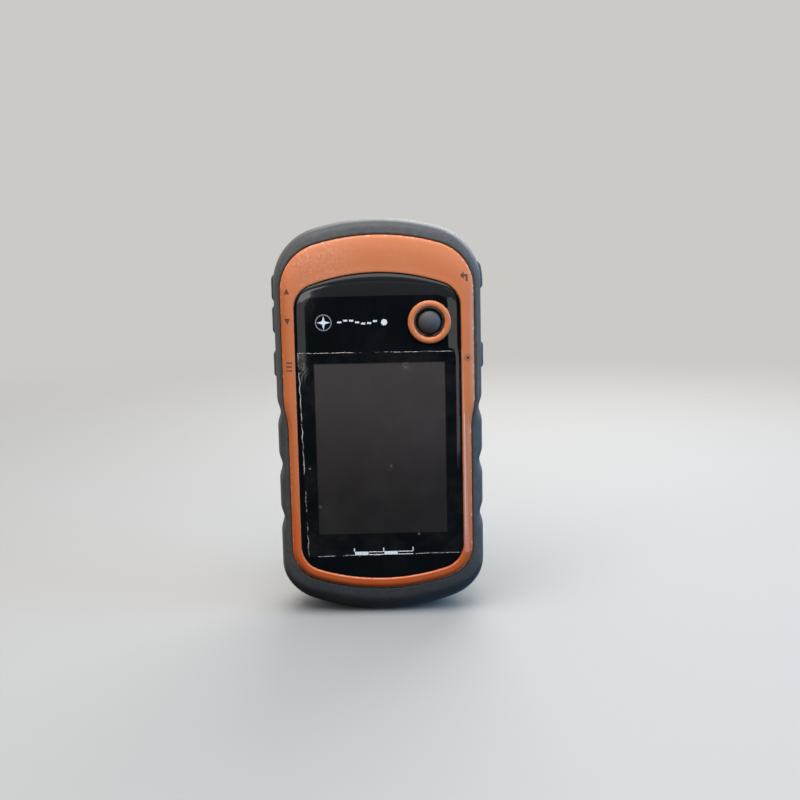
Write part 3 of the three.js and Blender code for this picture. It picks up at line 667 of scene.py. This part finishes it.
LENS_FLAT = {"x": (-19.0, 17.5), "z": (12.2, 83.6), "corners": (2.6, 6.8)}  # corners: upper, lower
BORDER_SLOPE = 0.06
SLOPES_FROM = (67.5, 71)  # the heights over which the border begins to slope


def plateau(flat, share=1.0):
    """The nearest points on the lens's flat middle, a rounded rectangle that its border falls away from."""
    radius = np.where(flat[:, 1] > 50, *LENS_FLAT["corners"])
    ends = LENS_FLAT["x"], LENS_FLAT["z"]
    core = np.column_stack([
        np.clip(flat[:, i], low + radius, high - radius) for i, (low, high) in enumerate(ends)
    ])
    away = flat - core
    return core + away / np.linalg.norm(away, axis=1)[:, None] * radius[:, None] * share


def make_lens():
    full = points(LENS)
    middle = plateau(full)
    span = np.linalg.norm(full - middle, axis=1)
    fall = BORDER_SLOPE * span * smoothstep(full[:, 1], *SLOPES_FROM)
    rim = points(grow(LENS, -0.25))
    rings = [
        ring(plateau(full, 0.7), LENS_FRONT),
        ring(middle, LENS_FRONT),
        ring(middle + (rim - middle) * 0.12, LENS_FRONT + 0.004 + fall * 0.08),
        ring(middle + (rim - middle) * 0.55, LENS_FRONT + fall * 0.5),
        ring(rim, LENS_FRONT + fall),
        grown_ring(LENS, -0.07, LENS_FRONT + fall + 0.07),
        ring(full, LENS_FRONT + fall + 0.25),
        ring(full, LENS_BACK),
    ]
    lens = loft("lens", rings, capped=True, sharp_deg=25)
    hole = disc("ring_hole", (STICK_X, STICK_Z), RING_OUTER + FIT, (-17, -13), 96)
    return finish(cut(lens, hole), "case", "lens", "lens_window")


def make_display_area():
    """The display behind the lens, drawn as a wafer in the lens's face."""
    across = about(DISPLAY["x"], DISPLAY["width"] / 2)
    along = about(DISPLAY["z"], DISPLAY["height"] / 2)
    wafer = block("display_area", across, (LENS_FRONT - 0.006, LENS_FRONT + 0.3), along)
    return finish(wafer, "case", "display_glass", "display_panel")


def make_stick_ring():
    inner, outer = RING_INNER, RING_OUTER
    back = PLATE_FRONT - FIT
    profile = [(inner, back), (outer, back)]
    profile += arc_profile((outer - 0.45, RING_FRONT + 0.55), 0.45, 0, -70, 6)
    profile += [((inner + outer) / 2, RING_FRONT)]
    profile += arc_profile((inner + 0.45, RING_FRONT + 0.55), 0.45, -110, -180, 6)
    made = turned("stick_ring", profile, (STICK_X, STICK_Z), 96)
    away = np.hypot(*(coordinates(made)[:, [0, 2]] - (STICK_X, STICK_Z)).T)
    paint(made, 0.5 * smoothstep(np.abs(away - 4.65), 0.35, 0.75))
    return finish(made, "case", "orange_plastic", "stick_bezel_ring")


def make_stick_cap():
    """A soft dome with a rolled edge, over a skirt painted near-black as shade, that closes the ring's well.
    """
    top = STICK_TOP
    angles = np.radians(np.linspace(0, 62, 12))
    wide = CAP_RADIUS * 0.9
    dome = [(wide * math.sin(a) / math.sin(angles[-1]), top + 1.62 * (1 - math.cos(a))) for a in angles]
    dome[0] = (0, top)
    # The skirt stays clear of the ring with both tilts at their limits.
    rolled = (2.8, 1.25), (2.82, 1.6), (2.86, 1.95)
    skirt = (3.4, 2.6), (3.4, 2.8), (1.9, 3.0)
    under = (1.5, 3.5), (0.85, 3.5), (0.85, 2.1), (0, 2.1)
    rest = [(radius, top + depth) for radius, depth in rolled + skirt + under]
    made = turned("stick_cap_rubber", dome + rest, (STICK_X, STICK_Z), 72)
    return finish(made, "stick_cap", "grip_rubber", "stick_cap", look=STICK_RUBBER)


FILM_SIZE = (41.7, 53)
FILM_CORNERS = ((-19.25, 16.4), (22.45, 16.8)), ((-20.35, 69.6), (21.35, 69.4))  # lower pair, upper pair


def make_film():
    """A protective film stuck on a little askew, over the display and up onto the bezel's right lip."""
    corners = np.array(FILM_CORNERS)
    across = np.concatenate([np.linspace(0, 0.08, 40), np.linspace(0.1, 0.92, 24), np.linspace(0.93, 1, 24)])
    along = np.concatenate([[0, 0.003, 0.008], np.linspace(0.02, 0.98, 120), [0.992, 0.997, 1]])
    verts, wear = [], []
    for v in along:
        for u in across:
            low, high = (start + (end - start) * u for start, end in corners)
            x, z = low + (high - low) * v
            x += 0.12 * math.sin(5 * z * 0.35) * math.sin(z * 0.23) * (1 - u) ** 6
            z += 0.08 * math.sin(x * 0.9) * math.sin(x * 0.31 + 1) * abs(2 * v - 1) ** 8
            climb = smoothstep(x, 20.4, 21.5) * 0.26 - smoothstep(x, 21.6, 23.0) * 0.1
            lifted = 0.05 * math.exp(-((x + 19.4) ** 2 + (z - 66) ** 2) / 6)
            verts.append((x, LENS_FRONT - 0.1 - climb - lifted, z))
            left, right = u * FILM_SIZE[0], (1 - u) * FILM_SIZE[0]
            bottom, top = v * FILM_SIZE[1], (1 - v) * FILM_SIZE[1]
            creases = math.exp(-((x + 19.3) ** 2 / 1.0 + (z - 66.2) ** 2 / 8)) * 0.25
            edge = max(
                0.85 * (1 - top / 0.15),
                1 - bottom / 0.17,
                1 - left / 0.26,
                0.4 * (1 - right / 0.3),
                creases * (0.5 + 0.5 * math.sin(7 * x - 3 * z + 2 * math.sin(1.7 * z))),
            )
            wear.append(max(0.0, min(1.0, edge)))
    made = add_mesh("film", verts, grid(len(along) - 1, len(across) - 1), 60)
    paint(made, wear)
    thicken(made, 0.06)
    return finish(made, "case", "film", "screen_film")


# --- Case ---

BAND_DEPTHS = (-13.25, -10.5, -6.0, 1.0, 6.0, BAND_BACK)
BAND_INSETS = (-1.2, -0.3, 0.0, -0.3, -0.9, -1.6)
GRIP_SHARES = (0.6, 1.0, 1.0, 1.0, 0.6, 0.0)
HEEL_LIFTS = (3.1, 1.15, 0.0, 0.0, 0.0, 0.0)


def make_band():
    lip = points(grow(BEZEL, 0.15))
    skins = [
        ring(heeled(points(grow(BAND, by), FINE, share), lift), depth)
        for depth, by, share, lift in zip(BAND_DEPTHS, BAND_INSETS, GRIP_SHARES, HEEL_LIFTS)
    ]
    shoulder = points(grow(BEZEL, 0.75))
    front = [ring(lip, BEZEL_EDGE - 0.12), ring(shoulder, BEZEL_EDGE - 0.2), *skins]
    inside = points(grow(SHELL, FIT))
    closing = [ring(inside, BAND_BACK), ring(inside, PLATE_FRONT - FIT), ring(lip, PLATE_FRONT - 2 * FIT)]
    band = loft("rubber_band", smoothed(front, 5) + closing, sharp_deg=40)
    depths = (KEY_FRONT - KEY_GAP, KEY_BACK + KEY_GAP)
    openings = [
        block("opening_" + name, mirrored(side, 18, 30), depths, (low - KEY_GAP, high + KEY_GAP), 0.9)
        for name, (side, low, high) in KEYS.items()
    ]
    below_floor = block("below_floor", (-40, 40), (-30, 30), (-10, 0))
    cut(band, *openings, below_floor)
    paint(band, 0.5 * smoothstep(coordinates(band)[:, 1], -13.2, -13.8))  # worn near the lip
    return finish(band, "case", "grip_rubber", "grip_band")


def at_screws(name, radius, depths, sides):
    places = [(side * SCREW_X, z) for side in (-1, 1) for z in (SCREW_LOW, SCREW_HIGH)]
    return [disc(f"{name}_{i}", place, radius, depths, sides) for i, place in enumerate(places)]


def make_rear_shell():
    """The back half of the case: a rounded tub with its battery bay, seats, pockets and screw wells."""
    under = points(SHELL)
    depths = (BAND_BACK + 0.12, BAND_BACK + 0.5, 11.6, 13.1, 13.45, SHELL_BACK)
    insets = (-1.75, -1.9, -3, -4.3, -5.0, -6.2)
    skins = smoothed([grown_ring(BAND, by, depth) for by, depth in zip(insets, depths)], 4)
    rings = [ring(under, SHELL_FRONT), ring(under, BAND_BACK + 0.1), *skins]
    rings.append(grown_ring(BAND, -7, SHELL_BACK))
    shell = loft("back_shell", rings, capped=True, sharp_deg=40)
    cut(shell, stepped("hollow", SHELL, ((-WALL, SHELL_FRONT - 1), (-WALL, 11))))
    join(
        shell,
        block("tub", (-BAY_HALF - 1.3, BAY_HALF + 1.3), (-3.7, LEDGE - 0.2), (BAY_LOW - 1.3, BAY_HIGH + 1.3)),
        block("card_boss", (-14.6, -0.6), (-4.8, BAY_FLOOR), (32, 54)),
        block("latch_box", (-9.2, 9.2), (7, 12), (8.5, 22.5)),
        block("usb_box", (-7.2, 7.2), (1.9, 12.5), (USB_LOW - 1.2, USB_HIGH + 1.2)),
        *at_screws("column", 3, (-5, 12), 24),
    )
    groove = ((-1.9, 11.7), (-1.9, 13), (-3.1, 13), (-3.1, 11.7))
    cut(
        shell,
        stepped("cover_seat", COVER, ((0.15, LEDGE), (0.15, 20))),
        stepped("seal_groove", COVER, groove, capped=False),
        block("bay", (-BAY_HALF, BAY_HALF), (BAY_FLOOR, 20), (BAY_LOW, BAY_HIGH), 0.8),
        block("card_pocket", (-13.9, -1.3), (-3.7, 0), (33, 53.2)),
        block("latch_pocket", (-8, 8), (8.2, 20), about(LATCH_Z, 5.8), 0.6),
        block("usb_pocket", (-USB_HALF, USB_HALF), (3.2, 20), (USB_LOW, USB_HIGH), 0.6),
        block("usb_hole", (-4, 4), (0, 5), about(USB_Z, 2.1)),
        *at_screws("shank", 1.15, (-8, 8), 24),
        *at_screws("well", 2.2, (5.9, 20), 40),
    )
    return finish(shell, "case", "shell_plastic", "rear_shell")


# --- Keys ---


def band_place(side, z, inset):
    """A point on the band's side at height z, moved in by inset along the outline's normal."""
    half, bow, corner = BAND["halves"][0], BAND["bows"][0], BAND["corners"][0]
    out, inwards = corner_centre(half, bow, corner)
    middle = BAND["top"] - inwards
    lean = math.asin(min(1, (z - middle) / corner)) if z > middle else 0
    reach = corner * math.cos(lean) + out + inset * math.cos(lean)
    return side * reach, z + inset * math.sin(lean)


def make_key(name):
    """A rounded rubber pad that stands a little proud of the band, on a stem that reaches its switch."""
    side, low, high = KEYS[name]
    rows, columns = 36, 28
    half_z, half_y = (high - low) / 2, (KEY_BACK - KEY_FRONT) / 2
    middle, corner = (low + high) / 2, 1.5
    outer, inner = [], []
    for i in range(rows + 1):
        v = i / rows
        for j in range(columns + 1):
            u = j / columns
            # Points gather towards the edges, where the pad is rounded.
            gather_v, gather_u = 0.5 - 0.5 * math.cos(math.pi * v), 0.5 - 0.5 * math.cos(math.pi * u)
            off_z, off_y = half_z * (2 * gather_v - 1), half_y * (2 * gather_u - 1)
            # In each corner's square, points move in to the corner's arc.
            past_z, past_y = max(0, abs(off_z) - half_z + corner), max(0, abs(off_y) - half_y + corner)
            if past_z and past_y:
                squeeze = max(past_z, past_y) / math.hypot(past_z, past_y)
                off_z = math.copysign(half_z - corner + past_z * squeeze, off_z)
                off_y = math.copysign(half_y - corner + past_y * squeeze, off_y)
                edge = corner - max(past_z, past_y)
            else:
                edge = min(half_z - abs(off_z), half_y - abs(off_y))
            z, y = middle + off_z, (KEY_FRONT + KEY_BACK) / 2 + off_y
            rise = 1 - (1 - min(1, edge / 1.7)) ** 2.4
            dish = 0.12 * math.exp(-(((z - middle) / 2.2) ** 2 + ((y + 4.75) / 2) ** 2))
            inset = -0.5 + (KEY_PROUD + 0.5) * rise - dish
            for skin, depth in ((outer, inset), (inner, -1.55)):
                x, at_z = band_place(side, z, depth)
                skin.append((x, y, at_z))
    width = columns + 1
    half = len(outer)
    faces = []
    for a, b, c, d in grid(rows, columns):
        faces += [(a, b, c, d), (half + a, half + d, half + c, half + b)]
    top = rows * width
    border = [(j, j + 1) for j in range(columns)]
    border += [(top + j + 1, top + j) for j in range(columns)]
    border += [((i + 1) * width, i * width) for i in range(rows)]
    border += [(i * width + columns, (i + 1) * width + columns) for i in range(rows)]
    faces += [(b, a, half + a, half + b) for a, b in border]
    key = add_mesh(name + "_pad", outer + inner, faces, 40)
    stem = block(name + "_stem", mirrored(side, 22.15, 25.2), (-6.2, -3.6), about(middle, 1.6), 0.2)
    join(key, stem)
    paint(key, 0.8 * smoothstep(np.abs(coordinates(key)[:, 0]), 26.6, 27.2))
    return finish(key, name + "_key", "grip_rubber", name + "_key")


# --- Back ---


def make_usb_cap():
    steps = (0, 13.65), (0, 14.25), (-0.12, 14.48), (-0.4, 14.6), (-1.3, 14.6), (-1.7, 14.45)
    cap = stepped("weather_cap", USB_FLANGE, steps, sharp_deg=50)
    plug = block("plug", (-5.6, 5.6), (11.6, 13.8), (USB_LOW + 0.4, USB_HIGH - 0.4), 0.4)
    tab = block("tab", (-2.5, 2.5), (14.2, 15.1), (85.6, 86.8), 0.25)
    ridges = [
        block(f"ridge_{i}", about(-3.2 + i * 1.6, 0.25), (14.3, 14.85), (88.2, 92.6), 0.12) for i in range(5)
    ]
    join(cap, plug, tab, *ridges)
    return finish(cap, "usb_cap", "grip_rubber", "usb_weather_cap")


def make_cover():
    """The battery cover: a low crowned plate with the mounting spine and the latch's seat."""
    steps = [(0, LEDGE + 0.15), (0, COVER_BACK - 0.6), (-0.2, COVER_BACK - 0.22)]
    steps += [(-0.7, COVER_BACK), (-1.4, COVER_BACK)]
    cover = stepped("door_plate", COVER, steps, sharp_deg=50)
    neck = block("neck", (-NECK_HALF, NECK_HALF), (COVER_BACK - 0.3, 15.3), (SPINE_LOW + 1, SPINE_HIGH - 1))
    head = block("head", (-HEAD_HALF, HEAD_HALF), (15.2, SPINE_BACK), (SPINE_LOW, SPINE_HIGH), 0.3)
    boss = disc("boss", (0, LATCH_Z), 3.7, (11.4, 12.8))
    join(cover, neck, head, boss)
    scoops = [
        block(f"scoop_{i}", (-6, 6), (SPINE_BACK - 0.35, 20), about(z, 1.1), 0.3)
        for i, z in enumerate(np.linspace(34, 72.5, 8))
    ]
    cut(cover, disc("disc_seat", (0, LATCH_Z), DISC_RADIUS + 0.2, (13.2, 15)), *scoops)
    # Cut on its own: overlapping cutters would leave a face across the hole.
    cut(cover, disc("shaft_hole", (0, LATCH_Z), SHAFT_RADIUS + 0.3, (10, 15)))
    return finish(cover, "battery_door", "shell_plastic", "battery_cover")


def make_latch_disc():
    edge = arc_profile((DISC_RADIUS - 0.3, 14.0), 0.3, 0, 90, 4)
    made = turned("latch_plate", [(0, 13.25), (DISC_RADIUS, 13.25), *edge, (0, 14.3)], (0, LATCH_Z), 96)
    ears = [
        block(f"ear_{side}", mirrored(side, 1.3, 3.1), (14, RING_Y + 1.2), about(LATCH_Z, 1.8), 0.35)
        for side in (-1, 1)
    ]
    join(made, *ears)
    pivot = block("pivot", (-6, 6), about(RING_Y, WIRE), about(LATCH_Z, WIRE), 0.87, 6)
    cut(made, pivot)
    return finish(made, "latch", "steel", "latch_disc")


def tube(name, path, radius, sides=16, closed=False):
    """A round wire along a list of points."""
    curve = bpy.data.curves.new(name, "CURVE")
    curve.dimensions, curve.use_fill_caps = "3D", not closed
    curve.bevel_depth, curve.bevel_resolution = radius * MM, sides // 4
    spline = curve.splines.new("POLY")
    spline.points.add(len(path) - 1)
    spline.use_cyclic_u = closed
    for point, at in zip(spline.points, path):
        point.co = (*[c * MM for c in at], 1)
    made = add_object(name, curve)
    mesh = settled(made)
    bpy.data.objects.remove(made)
    solid = add_object(name, mesh)
    tidy(solid, 50)
    return solid


def make_d_ring():
    legs = RING_DROP - RING_HALF
    path = [(RING_HALF, RING_Y, LATCH_Z - legs * i / 4) for i in range(4)]
    for i in range(33):
        angle = math.pi * i / 32
        path.append((RING_HALF * math.cos(angle), RING_Y, LATCH_Z - legs - RING_HALF * math.sin(angle)))
    path += [(-RING_HALF, RING_Y, LATCH_Z - legs * i / 4) for i in (3, 2, 1, 0)]
    path += [(x, RING_Y, LATCH_Z) for x in np.linspace(-RING_HALF + 0.6, RING_HALF - 0.6, 12)]
    made = tube("ring_wire", path, WIRE - 0.06, 20, closed=True)
    return finish(made, "d_ring", "steel", "d_ring")


# --- Cells and contacts ---


def make_cell(number, x, pole_up):
    """A standard cell: a rolled can with a printed sleeve, a raised pole and a flat base."""
    r, length = CELL_RADIUS, CELL_HIGH - CELL_LOW
    can = length - 1.2
    sleeve = [(r - 1.0, 0.12), (r - 0.35, 0.05), (r - 0.1, 0.25), (r, 0.6), (r, can - 0.7)]
    sleeve += [(r - 0.25, can - 0.25), (r - 0.9, can - 0.12), (r - 1.2, can - 0.3)]
    pole = [(2.9, can - 0.3), (2.7, can - 0.1), (2.7, can + 0.85), (2.45, can + 1.12), (0, can + 1.2)]
    made = turned(f"cell_{number}", [(0, 0.1), *sleeve, (3.2, can - 0.3), *pole], (0, 0), 64)
    if not pole_up:
        made.data.transform(Matrix.Rotation(math.pi, 4, "X"))
        made.data.transform(Matrix.Translation((0, length * MM, 0)))
    made.data.transform(Matrix.Rotation(math.pi / 2, 4, "X"))
    made.data.transform(Matrix.Translation(Vector((x, CELL_Y, CELL_LOW)) * MM))
    made.data.materials.append(LOOKS["cell_sleeve"])
    made = finish(made, f"battery_{number}", "cell_sleeve", f"battery_{number}")
    made.data.materials.append(LOOKS["contact_metal"])
    for face in made.data.polygons:
        middle = face.center / MM
        if math.hypot(middle.x - x, middle.y - CELL_Y) < r - 0.95:
            face.material_index = 1


def make_spring(number, x, wall, cell_end):
    """A cone spring on its square foot plate."""
    inward = 1 if cell_end > wall else -1
    start, end = wall + inward * 0.75, cell_end - inward * 0.45
    path = []
    for i in range(121):
        share = i / 120
        angle, radius = share * 2.5 * 2 * math.pi, 4.6 - 2.2 * share
        across, deep = radius * math.cos(angle), radius * math.sin(angle)
        path.append((x + across, CELL_Y + deep, start + (end - start) * share))
    coil = tube(f"spring_coil_{number}", path, 0.35, 12)
    foot = sorted((wall + inward * 0.1, wall + inward * 0.6))
    join(coil, block(f"foot_{number}", (x - 6, x + 6), (-0.5, 11.2), foot, 0.15))
    return finish(coil, "case", "contact_metal", f"contact_spring_{number}")


# --- Printed marks ---


class Print:
    """Flat marks laid on the front of a piece, each a closed outline of (x, z) points in millimetres."""

    def __init__(self, target):
        self.surface = BVHTree.FromObject(target, bpy.context.evaluated_depsgraph_get())

    def depth(self, x, z):
        hit = self.surface.ray_cast(Vector((x, -30, z)) * MM, Vector((0, 1, 0)))[0]
        return hit.y / MM

    def lay(self, name, shapes, look, slot, lift=0.012):
        """Fills each outline, lays it on the surface and gives it a thin body."""
        work = bmesh.new()
        for shape in shapes:
            loops = shape if isinstance(shape[0][0], (tuple, list)) else [shape]
            edges = []
            for loop in loops:
                verts = [work.verts.new((x, 0, z)) for x, z in loop]
                edges += [work.edges.new((a, b)) for a, b in zip(verts, verts[1:] + verts[:1])]
            bmesh.ops.triangle_fill(work, use_beauty=True, edges=edges)
        for _ in range(3):
            long_edges = [e for e in work.edges if e.calc_length() > 0.3]
            bmesh.ops.subdivide_edges(work, edges=long_edges, cuts=1)
        for v in work.verts:
            v.co = Vector((v.co.x, self.depth(v.co.x, v.co.z) - lift, v.co.z)) * MM
        mesh = bpy.data.meshes.new(name)
        work.to_mesh(mesh)
        work.free()
        made = add_object(name, mesh)
        tidy(made)
        mesh.shade_flat()
        thicken(made, 0.02)
        return finish(made, "case", slot, look=look)


def circle(x, z, radius, steps=24):
    angles = [2 * math.pi * i / steps for i in range(steps)]
    return [(x + radius * math.cos(a), z + radius * math.sin(a)) for a in angles]


def bar(x, z, half_width, half_height):
    corners = (-1, -1), (1, -1), (1, 1), (-1, 1)
    return [(x + i * half_width, z + k * half_height) for i, k in corners]


def print_bezel(bezel):
    """Plain pictograms beside the keys: up, down, a list, a return arrow and a lamp."""
    ink = Print(bezel)
    up = [(-23.3, 84.6), (-21.9, 84.6), (-22.6, 86.0)]
    down = [(-23.35, 78.4), (-21.95, 78.4), (-22.65, 76.9)]
    lines = [bar(-22.55, 66.2 + step, 0.68, 0.17) for step in (-1.0, 0, 1.0)]
    head = [(21.9, 88.15), (21.9, 87.5), (20.9, 88.4), (21.9, 89.3), (21.9, 88.65)]
    tail = [(22.85, 88.65), (22.85, 86.9), (22.35, 86.9), (22.35, 88.15)]
    arrow = head[2:] + tail + head[:2]
    lamp = [circle(22.65, 67.6, 0.42)]
    for step in range(8):
        a = 2 * math.pi * step / 8
        out, wide = (math.cos(a), math.sin(a)), (-math.sin(a) * 0.09, math.cos(a) * 0.09)
        ends = (0.62, 1), (0.62, -1), (0.98, -1), (0.98, 1)
        lamp.append([
            (22.65 + out[0] * reach + wide[0] * side, 67.6 + out[1] * reach + wide[1] * side)
            for reach, side in ends
        ])
    marks = {"up": [up], "down": [down], "list": lines, "return": [arrow], "lamp": lamp}
    for name, shapes in marks.items():
        ink.lay("mark_" + name, shapes, INK_DARK, "orange_plastic", 0.03)


def print_lens(lens):
    """A compass star and a dotted route above the display, and a map scale below it."""
    ink = Print(lens)
    x, z = -13.6, 77.2
    star = []
    for step, reach in enumerate((1.75, 0.5) * 4):
        a = math.pi / 2 + 2 * math.pi * step / 8
        star.append((x + reach * math.cos(a), z + reach * math.sin(a)))
    rings = [circle(x, z, 2.1, 40), circle(x, z, 1.85, 40)]
    ink.lay("mark_compass_ring", [rings], INK_GREY, "lens")
    ink.lay("mark_compass_star", [star], INK_WHITE, "lens")
    route = [bar(-9.6 + 1.5 * i, 77.2 + 0.45 * math.sin(1.1 * i), 0.52, 0.23) for i in range(7)]
    route.append(circle(1.7, 77.0, 0.78))
    ink.lay("mark_route", route, INK_WHITE, "lens")
    scale = [bar(-5.45 + 3.8 * i, 17.05, 1.75, 0.45) for i in (0, 2)]
    scale += [bar(-5.45 + 3.8 * i, 17.05 + side * 0.36, 1.9, 0.09) for i in (1, 3) for side in (-1, 1)]
    scale += [bar(-7.35 + 7.6 * i, 18.0, 0.13, 0.45) for i in (0, 1, 2)]
    ink.lay("mark_scale", scale, INK_WHITE, "lens")


# --- The object ---

EDGES = {
    "width": 0.08 * MM,
    "segments": 2,
    "limit_method": "ANGLE",
    "angle_limit": math.radians(35),
    "use_clamp_overlap": True,
    "harden_normals": True,
}
slots = {part["node"]: part["material_slot"] for part in frame["record"]["subparts"]}
for node, part in frame["nodes"].items():
    part.data.materials.clear()
    part.data.materials.append(LOOKS[slots[node]])
    part.data.shade_smooth()
    part.data.set_sharp_from_angle(angle=math.radians(32))
    modify(part, "edges", "BEVEL", **EDGES)

bezel = make_bezel()
lens = make_lens()
make_display_area()
make_stick_ring()
make_stick_cap()
make_film()
make_band()
make_rear_shell()
for key_name in KEYS:
    make_key(key_name)
make_usb_cap()
make_cover()
make_latch_disc()
make_d_ring()
make_cell(1, -CELL_X, True)
make_cell(2, CELL_X, False)
make_spring(1, -CELL_X, BAY_LOW, CELL_LOW)
make_spring(2, CELL_X, BAY_HIGH, CELL_HIGH)
print_bezel(bezel)
print_lens(lens)

# --- Stage, light and camera ---


def make_floor():
    """A pale floor that fades into the backdrop, so that no horizon shows."""
    sides = 96
    verts = [(0, 0, 0), *((x, y, 0) for x, y in circle(0, 0, 1500, sides))]
    faces = [(0, 1 + i, 1 + (i + 1) % sides) for i in range(sides)]
    floor = add_mesh("floor", verts, faces)
    look = Look("floor", (0.31, 0.305, 0.295), 0.75)
    away = look.node("VectorMath", {0: look.place}, operation="LENGTH").outputs["Value"]
    look.set(Alpha=look.ramp(away, 0.62, 0.16))
    floor.data.materials.append(look.made)
    floor.visible_glossy = floor.visible_diffuse = False


def area_light(name, place, target, size, watts, color, card=False):
    """A soft light, or a card that only shows as a reflection."""
    light = bpy.data.lights.new(name, "AREA")
    light.shape, light.energy, light.color = "RECTANGLE", watts, color
    light.size, light.size_y = (s * MM for s in size)
    made = add_object(name, light)
    made.location = Vector(place) * MM
    made.rotation_mode = "QUATERNION"
    made.rotation_quaternion = (Vector(target) - Vector(place)).to_track_quat("-Z", "Y")
    made.visible_camera = False
    made.visible_diffuse = not card


def make_world():
    """Pale above and dark from the horizon down, where the lens would mirror it, with a plain backdrop."""
    world = bpy.data.worlds.new("studio")
    world.use_nodes = True
    tree = world.node_tree
    tree.nodes.clear()
    kinds = ("OutputWorld", "Background", "Background", "MixShader", "LightPath")
    kinds += ("TexCoord", "SeparateXYZ", "MapRange")
    nodes = [tree.nodes.new("ShaderNode" + kind) for kind in kinds]
    out, seen, lit, choose, path, place, parts, ramp = nodes
    seen.inputs[0].default_value = (0.60, 0.59, 0.57, 1)
    lit.inputs[0].default_value = (0.95, 0.97, 1, 1)
    ramp.interpolation_type = "SMOOTHSTEP"
    ends = {"From Min": 0.0, "From Max": 0.5, "To Min": 0.006, "To Max": 0.9}
    for key, value in ends.items():
        ramp.inputs[key].default_value = value
    for source, socket in (
        (place.outputs["Generated"], parts.inputs[0]),
        (parts.outputs[2], ramp.inputs["Value"]),
        (ramp.outputs[0], lit.inputs["Strength"]),
        (path.outputs["Is Camera Ray"], choose.inputs[0]),
        (lit.outputs[0], choose.inputs[1]),
        (seen.outputs[0], choose.inputs[2]),
        (choose.outputs[0], out.inputs[0]),
    ):
        tree.links.new(source, socket)
    bpy.context.scene.world = world


def make_camera():
    camera = bpy.data.cameras.new("camera")
    camera.lens, camera.sensor_width = 54, 36
    camera.clip_start, camera.clip_end = 0.01, 10
    made = add_object("camera", camera)
    right = Vector((0.9997, -0.009, -0.021)).normalized()
    back = Vector((-0.006, -0.988, 0.154))
    back = (back - right * back.dot(right)).normalized()
    turn = Matrix((right, back.cross(right), back)).transposed()
    made.matrix_world = Matrix.Translation(Vector((3.55, -316.6, 104.1)) * MM) @ turn.to_4x4()
    bpy.context.scene.camera = made


make_floor()
make_world()
area_light("overhead", (-60, -230, 520), (0, 0, 60), (420, 420), 3.4, (1.0, 0.97, 0.93))
area_light("right_window", (480, -160, 130), (0, 0, 50), (300, 420), 3.0, (0.2, 0.55, 1.0))
area_light("rear", (140, 460, 330), (0, 0, 50), (420, 320), 2.6, (1.0, 0.99, 0.97))
area_light("top_card", (0, -480, 330), (0, 0, 70), (520, 180), 0.65, (1.0, 0.98, 0.96), True)
# Dim cards for the lens's sloping border to mirror, at its corner, left side, top and right side.
for name, left, right, low, high, watts in (
    ("corner_card", -230, -62, 78, 200, 0.26),
    ("left_card", -230, -62, -10, 78, 0.05),
    ("upper_card", -62, 250, 78, 190, 0.04),
    ("right_card", 105, 235, -80, 200, 0.17),
):
    x, z = (left + right) / 2, (low + high) / 2
    area_light(name, (x, -600, z), (x, 0, z), (right - left, high - low), watts, (1.0, 0.95, 0.93), True)
make_camera()
bpy.context.scene.view_settings.view_transform = "Standard"
